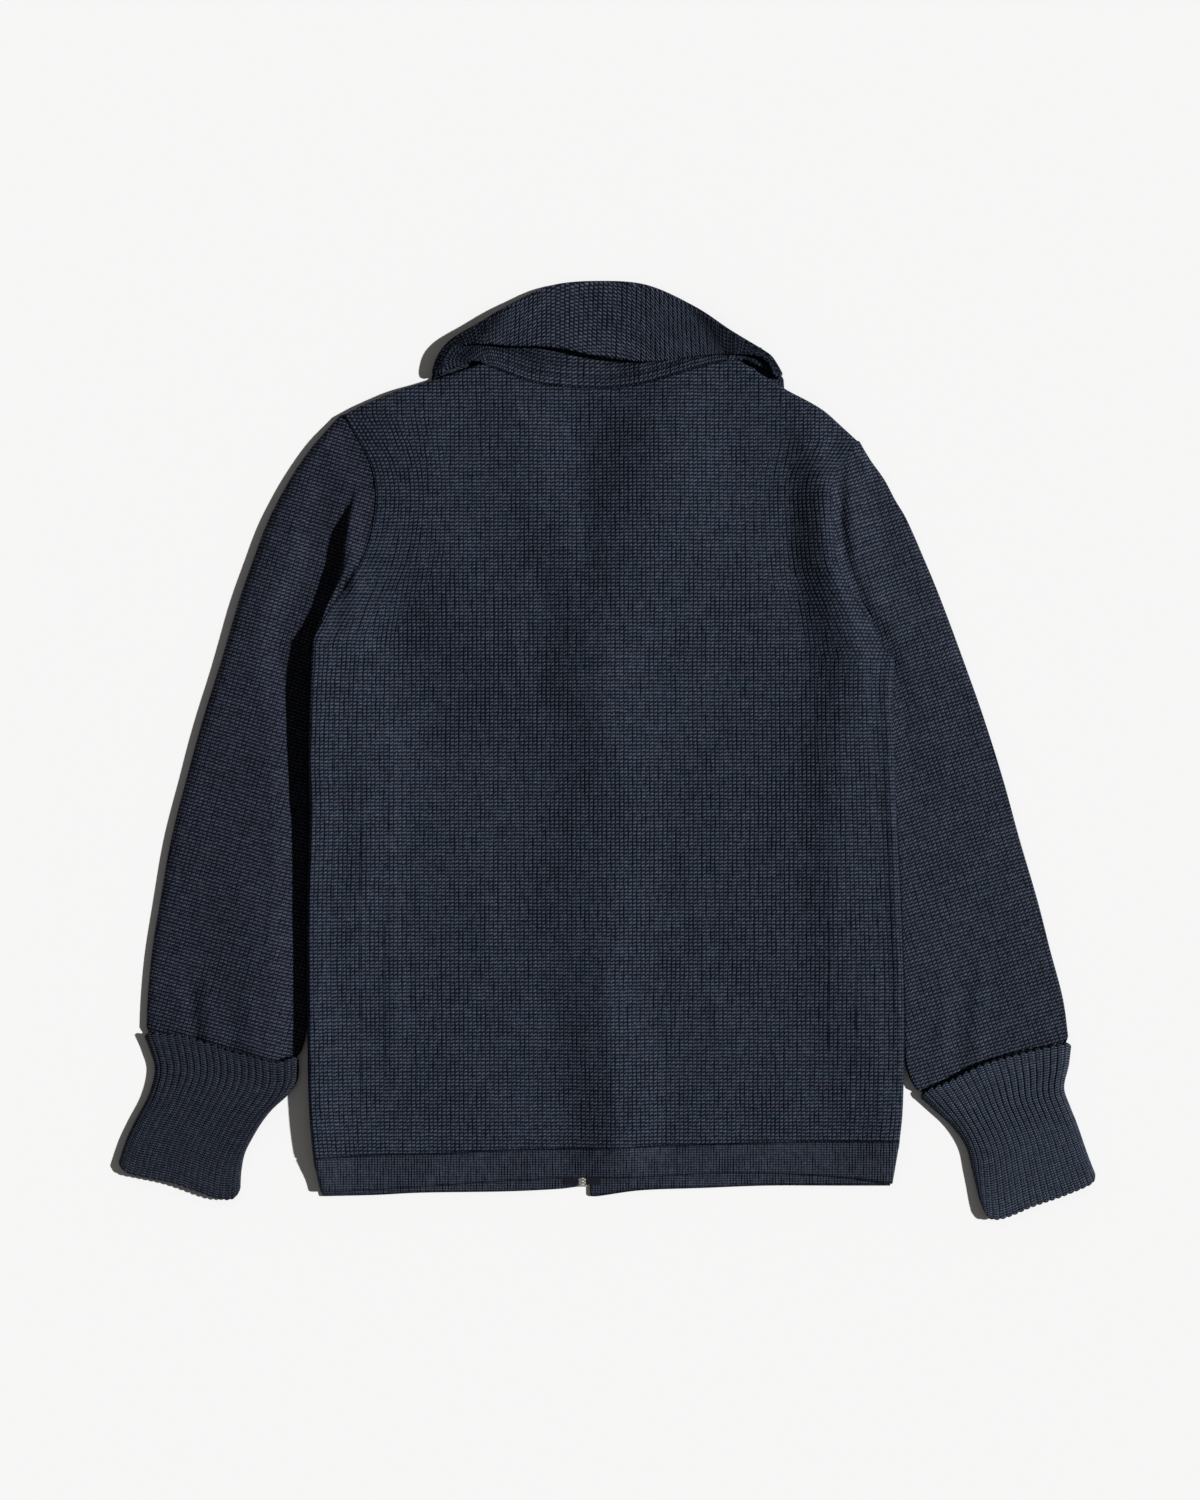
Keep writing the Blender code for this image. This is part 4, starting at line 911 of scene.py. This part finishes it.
# ---- Cuffs --------------------------------------------------------------------------------------
# Long cuffs in deep, springy rib, knitted apart and linked to the sleeve's end. The rib draws in
# at the wrist and flares at both ends, and its top edge stands proud in a row of small scallops.
LEFT_CUFF_OUTER = [
    Spot(-394, -242), Spot(-389, -256), Spot(-385, -272), Spot(-390, -293), Spot(-401, -314),
    Spot(-409, -331), Spot(-416, -352),
]
LEFT_CUFF_INNER = [
    Spot(-262, -262), Spot(-263, -280), Spot(-271, -293), Spot(-284, -305), Spot(-293, -316),
    Spot(-301, -329), Spot(-308, -343), Spot(-311, -358), Spot(-312, -374),
]
LEFT_CUFF_END = [
    Spot(-416, -352), Spot(-407, -360), Spot(-390, -364), Spot(-371, -368), Spot(-355, -373),
    Spot(-339, -379), Spot(-327, -382), Spot(-317, -381), Spot(-312, -374),
]
RIGHT_CUFF_OUTER = [
    Spot(395, -250), Spot(393, -268), Spot(389, -287), Spot(394, -303), Spot(400, -318),
    Spot(409, -344), Spot(416, -362),
]
RIGHT_CUFF_INNER = [
    Spot(266, -295), Spot(278, -306), Spot(293, -320), Spot(305, -337), Spot(310, -355),
    Spot(316, -380),
]
RIGHT_CUFF_END = [
    Spot(416, -362), Spot(411, -369), Spot(388, -379), Spot(362, -388), Spot(343, -396),
    Spot(331, -399), Spot(323, -396), Spot(316, -380),
]
RIBS = 21
RIB_STEPS = 10
RIB_HEIGHT = 1.1        # of a crest above its grooves, on the upper layer
FLOOR_RIB = 0.9         # depth of a groove on the floor
CUFF_TOP = 9.2
CUFF_FLARE = 2.4        # how much higher it stands at its top edge
FLARE_REACH = 9
SCALLOP = 1.7           # how far the crests reach past the grooves at the top edge
END_SCALLOP = 0.7       # share of it at the cuff's end
CUFF_COURSE = 2.0
# springy rib of the same yarn, whose stitches look small and whose grooves look deep
# painted shade and painted light: the left cuff's colours are darker than the body's, the right's
# lighter
left_cuff_knit_painted_shade = wool_knit(
    "navy_wool_left_cuff_painted_shade", ("#323b4a", "#353946"), "#010206",
    groove=0.6, hole=1.1, low=0.55, relief=0.4,
)
right_cuff_knit_painted_light = wool_knit(
    "navy_wool_right_cuff_painted_light", ("#424e60", "#454b5a"), "#020307",
    groove=0.6, hole=1.1, low=0.55, relief=0.4,
)


def rib_crest(share, power):
    """1 along the middle of each rib, falling to 0 in the grooves; a high power makes it flat."""
    return 1 - np.abs(2 * ((share * RIBS) % 1) - 1) ** power


def rib_profile(share, in_from_fold, place):
    """How far the ribs stand out of the upper face, and how far the grooves go into the lower.

    place goes from 0 at the sleeve to 1 at the cuff's end, where the rib is stretched flat.
    """
    crest = rib_crest(share, 5)
    fade = ease(in_from_fold / 4)
    stretched = 1 - 0.5 * ease((place - 0.3) / 0.5)
    return RIB_HEIGHT * crest * fade * stretched, FLOOR_RIB * (1 - crest) * fade


def cuff(name, node, top_edge, outer, inner, end, inner_roll, cloth):
    """A cuff, ribbed all round, whose top edge stands proud of the sleeve's end."""
    hem = curve(top_edge) + [0, 0.5]
    start = np.vstack([[outer[0]], hem[2:-2], [inner[0]]])
    ordered = start[np.argsort(start[:, 0])]

    def top(x, y):
        below = np.maximum(0, np.interp(x, ordered[:, 0], ordered[:, 1]) - y)
        return CUFF_TOP + CUFF_FLARE * np.exp(-below / FLARE_REACH)

    count = RIBS * RIB_STEPS
    share = np.concatenate([np.linspace(0, 1, count + 1), np.linspace(1, 0, count + 1)[1:]])
    across = np.linspace(0, 1, 90)
    plan = patch(start, curve(end), curve(outer), curve(inner), across, shares(120, 54))
    middle, outward = pressed_tube(plan, top, share, count, inner_roll, rib_profile)
    way = plan[0].mean(axis=0) - plan[-1].mean(axis=0)
    way /= np.linalg.norm(way)
    run = run_of(plan.mean(axis=1))
    reach = SCALLOP * (np.exp(-run / 5) - END_SCALLOP * np.exp(-(run[-1] - run) / 4))
    middle[:, :, :2] += np.outer(reach, rib_crest(share, 2) - 0.5)[:, :, None] * way
    length = run / CUFF_COURSE

    def grain(row, column, *cell):
        return np.column_stack([share[column] * RIBS * 2, length[row]])

    made = cloth_wall(name, middle, outward, end_rim(plan, len(share)), grain, cloth)
    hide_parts(node)


cuff(
    "rib_cuff_left", "cuff_left", LEFT_SLEEVE_END, LEFT_CUFF_OUTER, LEFT_CUFF_INNER, LEFT_CUFF_END,
    10, left_cuff_knit_painted_shade,
)
cuff(
    "rib_cuff_right", "cuff_right", RIGHT_SLEEVE_END, RIGHT_CUFF_OUTER, RIGHT_CUFF_INNER,
    RIGHT_CUFF_END, 24, right_cuff_knit_painted_light,
)

# ---- Collar -------------------------------------------------------------------------------------
# A shawl collar knitted as one long strip and linked round the neck and down both fronts. Behind
# the neck its stand rises and its fall turns over onto it; its two leaves lie under the fronts.
CollarRow = namedtuple("CollarRow", "seam_x seam_y roll_x roll_y roll_z edge_x edge_y edge_z turn")
COLLAR = [
    CollarRow(-33, 51, -27, 54, 4.6, -42, 47, 2.2, -90),
    CollarRow(-48, 88, -37, 92, 4.6, -79, 77, 2.2, -90),
    CollarRow(-79, 147, -61, 153, 4.6, -120, 133, 2.2, -90),
    CollarRow(-108, 224, -88, 228, 4.6, -152, 210, 2.2, -90),
    CollarRow(-113, 285, -93, 292, 4.6, -158, 272, 2.2, -90),
    CollarRow(-109, 316, -99, 334, 4.6, -152, 306, 2.2, -80),
    CollarRow(-104, 338, -125, 344, 5.0, -148, 318, 3.5, -10),
    CollarRow(-102, 336, -143.6, 321, 7.5, -139, 320, 11.0, 45),
    CollarRow(-100.5, 332, -140.6, 333, 10.0, -136, 331, 14.5, 68),
    CollarRow(-98, 328, -130, 345.5, 11.5, -127, 342, 17.5, 82),
    CollarRow(-95, 325, -107, 359, 12.2, -105, 344, 18.8, 88),
    CollarRow(-80, 319.5, -78, 376.5, 10.5, -80, 342, 19.3, 90),
    CollarRow(-52, 312, -46, 391, 7.2, -46, 341, 19.0, 90),
    CollarRow(-4, 309.3, -6, 394.7, 5.4, -8, 333.5, 18.0, 90),
    CollarRow(36, 315, 34, 391, 6.8, 34, 329, 18.5, 90),
    CollarRow(75, 325.6, 74, 372.5, 9.5, 76, 333.5, 19.0, 90),
    CollarRow(96, 330.5, 103, 352.5, 12.0, 103, 335, 18.8, 88),
    CollarRow(99, 333, 127.8, 338.2, 11.0, 125, 334.5, 17.5, 82),
    CollarRow(101, 336, 137.5, 331.5, 10.0, 134.5, 329.5, 15.0, 70),
    CollarRow(103, 339, 144.7, 320, 7.5, 141, 319, 11.0, 45),
    CollarRow(105, 341, 128, 340, 5.0, 150, 313, 3.5, -10),
    CollarRow(105, 318, 98, 334, 4.5, 150, 299, 2.1, -86),
    CollarRow(100, 285, 80, 291, 4.6, 146, 268, 2.2, -90),
    CollarRow(72, 224, 52, 228, 4.6, 120, 206, 2.2, -90),
    CollarRow(38, 147, 20, 153, 4.6, 80, 130, 2.2, -90),
    CollarRow(6, 88, -6, 92, 4.6, 36, 77, 2.2, -90),
    CollarRow(-9, 51, -15, 54, 4.6, 1, 47, 2.2, -90),
]
FOLD_RADIUS = 2.4       # of the roll at the top of the stand
COLLAR_WALE = 4.05
COLLAR_COURSE = 3.25
LINKING = 9.4           # width of the band that links the collar to the neck
NECK_OVERLAP = 0.6
STAND_RUN = 84          # lengths of the stand and the fall, from which their steps are measured
FALL_RUN = 62
# knitted looser than the body, so its stitches stand out and each catches some light
# its colours are painted a little lighter than the body's: painted light for the light its raised
# stitches catch
collar_knit = wool_knit(
    "navy_wool_collar_knit", ("#3e495a", "#404455"), "#010205", low=0.56, lean=0.5, relief=0.8
)


def collar_middle(steps, stand_at, bend_at, fall_at):
    """The middle of the collar's wall: along the neck, points from seam to free edge."""
    columns = np.array(COLLAR, float)
    x, y, turn = columns[:, 0], columns[:, 1], np.radians(columns[:, 8])
    under = front_lift(x, y) + HALF_WALL
    over = back_middle(x, y)
    heights = under + (over - under) * (np.sin(turn) + 1) / 2
    path = curve(np.column_stack([columns, heights]), steps)
    behind = ease((path[:, 8] - 60) / 25)
    neck = curve(NECK)
    path[:, 1] += behind * (np.interp(path[:, 0], neck[:, 0], neck[:, 1]) - NECK_OVERLAP - path[:, 1])
    seam = path[:, [0, 1, 9]]
    roll, edge = path[:, 2:5], path[:, 5:8]
    rise = (roll - seam) * (1, 1, 0)
    rise /= np.linalg.norm(rise, axis=1)[:, None]
    outward = np.column_stack([-rise[:, 1], rise[:, 0], np.zeros(len(path))])
    outward *= np.sign(np.einsum("ij,ij->i", outward, edge - roll))[:, None]
    angle = np.radians(path[:, 8])[:, None]
    over = np.cos(angle) * outward + np.sin(angle) * (0, 0, 1)
    stand_top, fall_top = roll - FOLD_RADIUS * over, roll + FOLD_RADIUS * over
    parts = [seam + (stand_top - seam) * t for t in stand_at]
    for part in bend_at:
        swing = math.pi * part
        parts.append(roll + FOLD_RADIUS * (-math.cos(swing) * over + math.sin(swing) * rise))
    parts += [fall_top + (edge - fall_top) * t for t in fall_at]
    return np.stack(parts, axis=1)


near_seam = np.array([0, 0.25, 0.8, 1.6, 2.6, 4, 5.4, 6.8, 8, 9.2, 10.6, 12.4]) / STAND_RUN
near_edge = 1 - np.array([2.6, 1.6, 0.8, 0.25, 0]) / FALL_RUN
stand_at = np.concatenate([near_seam, np.linspace(0.18, 1, 18)])
bend_at = np.linspace(0, 1, 9)[1:-1]
fall_at = np.concatenate([np.linspace(0, 0.93, 20), near_edge])
middle = collar_middle(16, stand_at, bend_at, fall_at)
lengthwise, crosswise = np.gradient(middle, axis=0), np.gradient(middle, axis=1)
normal = np.cross(lengthwise, crosswise)
normal /= np.linalg.norm(normal, axis=2)[:, :, None]
seam_run = np.array([run_of(line) for line in middle])
away = np.minimum(seam_run, seam_run[:, -1:] - seam_run)
length_run = run_of(middle[:, 0])
end_away = np.minimum(length_run, length_run[-1] - length_run)
rim = edge_round(np.minimum(away, end_away[:, None]))
wave = ripple(middle[:, :, 0] * 1.6, middle[:, :, 1] * 1.6, 0.25, 12)
behind_neck = ease((middle[:, :, 2] - 7) / 4)
middle += normal * (wave * behind_neck)[:, :, None]
# the linking stands a little proud as a round band, with a groove along its upper edge
groove = 1.5 * bell((seam_run - LINKING) / 1.5) - 0.5 * bell((seam_run - LINKING / 2) / 3)
middle[:, :, 2] -= groove * behind_neck
outward = normal * HALF_WALL
# nothing of it goes into the floor
low_face = middle[:, :, 2] - np.abs(outward[:, :, 2]) * rim
middle[:, :, 2] += np.maximum(0, -low_face)
roll_run = run_of(middle[:, len(stand_at) + 3, :2])


def collar_grain(row, column, *cell):
    return np.column_stack([roll_run[row] / COLLAR_WALE, seam_run[row, column] / COLLAR_COURSE])


seams_and_painted_shade = dark_rows(seam_run, (0.6, 1), (LINKING, 1.1))
# painted shade on the stand, under the fall's overhang: its stitches are darkened from just above the
# linking band up towards where it turns into the fall
seams_and_painted_shade += 0.95 * ease((seam_run - LINKING) / 14) * (1 - ease((seam_run - 50) / 20))
seams_and_painted_shade = np.minimum(seams_and_painted_shade, 1) * behind_neck
collar = cloth_wall("knit_collar", middle, outward, rim, collar_grain, collar_knit, seams_and_painted_shade)
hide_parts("collar")

# ---- Zip ----------------------------------------------------------------------------------------
# An open-end zip: nickel-plated brass teeth pressed onto two woven tapes, which are sewn inside
# the fronts. Its box shows at the hem, and its slider and pull tab lie at the foot of the collar.
# pressed brass under slightly dull nickel, which gives small warm-grey glints, in patches of
# about a millimetre
nickel, tree, surface = new_material("nickel_plated_brass")
where = add_node(tree, "ShaderNodeTexCoord")
wear = add_node(tree, "ShaderNodeTexNoise", Vector=where.outputs["Object"], Scale=900.0, Detail=4.0)
tone = add_node(tree, "ShaderNodeValToRGB", Fac=wear.outputs["Fac"])
tone.color_ramp.elements[0].color = linear("#b3b0aa")
tone.color_ramp.elements[1].color = linear("#e3e0d9")
tree.links.new(tone.outputs["Color"], surface.inputs["Base Color"])
rough = add_node(tree, "ShaderNodeMapRange", Value=wear.outputs["Fac"], To_Min=0.34, To_Max=0.52)
tree.links.new(rough.outputs[0], surface.inputs["Roughness"])
surface.inputs["Metallic"].default_value = 1.0

# polyester dyed in the thread and woven close, which looks nearly black and has no shine; its
# diagonal lines are drawn 1.4 mm apart, coarser than the real ones, so that they can show
tape, tree, surface = new_material("woven_polyester_tape")
where = add_node(tree, "ShaderNodeTexCoord")
weave = add_node(
    tree, "ShaderNodeTexWave", {"bands_direction": "DIAGONAL"}, Vector=where.outputs["Object"],
    Scale=260.0, Distortion=1.0,
)
tone = add_node(tree, "ShaderNodeValToRGB", Fac=weave.outputs["Fac"])
tone.color_ramp.elements[0].color = linear("#0b0d12")
tone.color_ramp.elements[1].color = linear("#1b1e27")
tree.links.new(tone.outputs["Color"], surface.inputs["Base Color"])
bump = add_node(tree, "ShaderNodeBump", Strength=0.6, Distance=0.2 * MM, Height=weave.outputs["Fac"])
tree.links.new(bump.outputs[0], surface.inputs["Normal"])
surface.inputs["Roughness"].default_value = 0.8
surface.inputs["Specular IOR Level"].default_value = 0.1

TOOTH_PITCH = 2.6       # from one tooth to the next on the same tape
TOOTH = (3.5, 0.95, 2.1)
TOOTH_OFFSET = 1.0      # to its own side of the zip's middle
TOOTH_BEVEL = 0.3
ZIP_X = -21.0
ZIP_LOW = 2.6
ZIP_FOOT = -369.6
ZIP_TOP = 33.6
bm = bmesh.new()
count = int((ZIP_TOP - ZIP_FOOT) / (TOOTH_PITCH / 2))
for i in range(count):
    hand = 1 if i % 2 else -1
    y = ZIP_FOOT + i * TOOTH_PITCH / 2
    x = ZIP_X + hand * TOOTH_OFFSET
    lift = float(front_lift(np.array([x]), np.array([y]))[0])
    made = bmesh.ops.create_cube(bm, size=1)
    bmesh.ops.scale(bm, vec=TOOTH, verts=made["verts"])
    bmesh.ops.translate(bm, vec=(x, y, ZIP_LOW + lift + TOOTH[2] / 2), verts=made["verts"])
bmesh.ops.bevel(
    bm, geom=bm.edges[:], offset=TOOTH_BEVEL, segments=2, profile=0.5, affect="EDGES", material=-1
)
bmesh.ops.scale(bm, vec=(MM, MM, MM), verts=bm.verts)
mesh = mesh_from("zip_teeth", bm)
mesh.shade_smooth()
mesh.set_sharp_from_angle(angle=math.radians(35))
teeth = put_in_scene("zip_teeth", mesh, nickel)
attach(teeth, "cardigan")
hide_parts("zip_chain")
for node, cloth in (
    ("zip_bottom_box", nickel), ("zip_slider", nickel), ("pull_tab", nickel),
    ("zip_tape_left", tape), ("zip_tape_right", tape),
):
    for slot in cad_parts[node].material_slots:
        slot.material = cloth

# ---- Floor, light and camera --------------------------------------------------------------------
# A plain pale paper floor, one studio lamp low on the right that throws short soft-edged shadows
# to the left, a dim even fill, and a camera straight above.
# uncoated paper, which looks evenly pale and has no shine
paper, tree, surface = new_material("matt_white_paper")
surface.inputs["Base Color"].default_value = linear("#efefef")
surface.inputs["Roughness"].default_value = 1.0
surface.inputs["Specular IOR Level"].default_value = 0.0
bm = bmesh.new()
bmesh.ops.create_grid(bm, x_segments=1, y_segments=1, size=8)
floor = put_in_scene("studio_floor", mesh_from("studio_floor", bm), paper)

sun = bpy.data.lights.new("key_light", "SUN")
sun.energy = 4.72
sun.angle = math.radians(2)
key = bpy.data.objects.new("key_light", sun)
key.rotation_euler = (0, math.radians(50), math.radians(5))
bpy.context.collection.objects.link(key)

world = bpy.data.worlds.new("studio_fill")
world.use_nodes = True
sky = world.node_tree.nodes["Background"]
sky.inputs["Color"].default_value = (1.0, 0.965, 0.94, 1)
sky.inputs["Strength"].default_value = 0.11
bpy.context.scene.world = world
bpy.context.scene.view_settings.view_transform = "Standard"

camera_data = bpy.data.cameras.new("camera_above")
camera_data.lens = 85
camera_data.sensor_width = 36
camera = bpy.data.objects.new("camera_above", camera_data)
camera.location = (-0.006, 0, 3.018)
bpy.context.collection.objects.link(camera)
bpy.context.scene.camera = camera
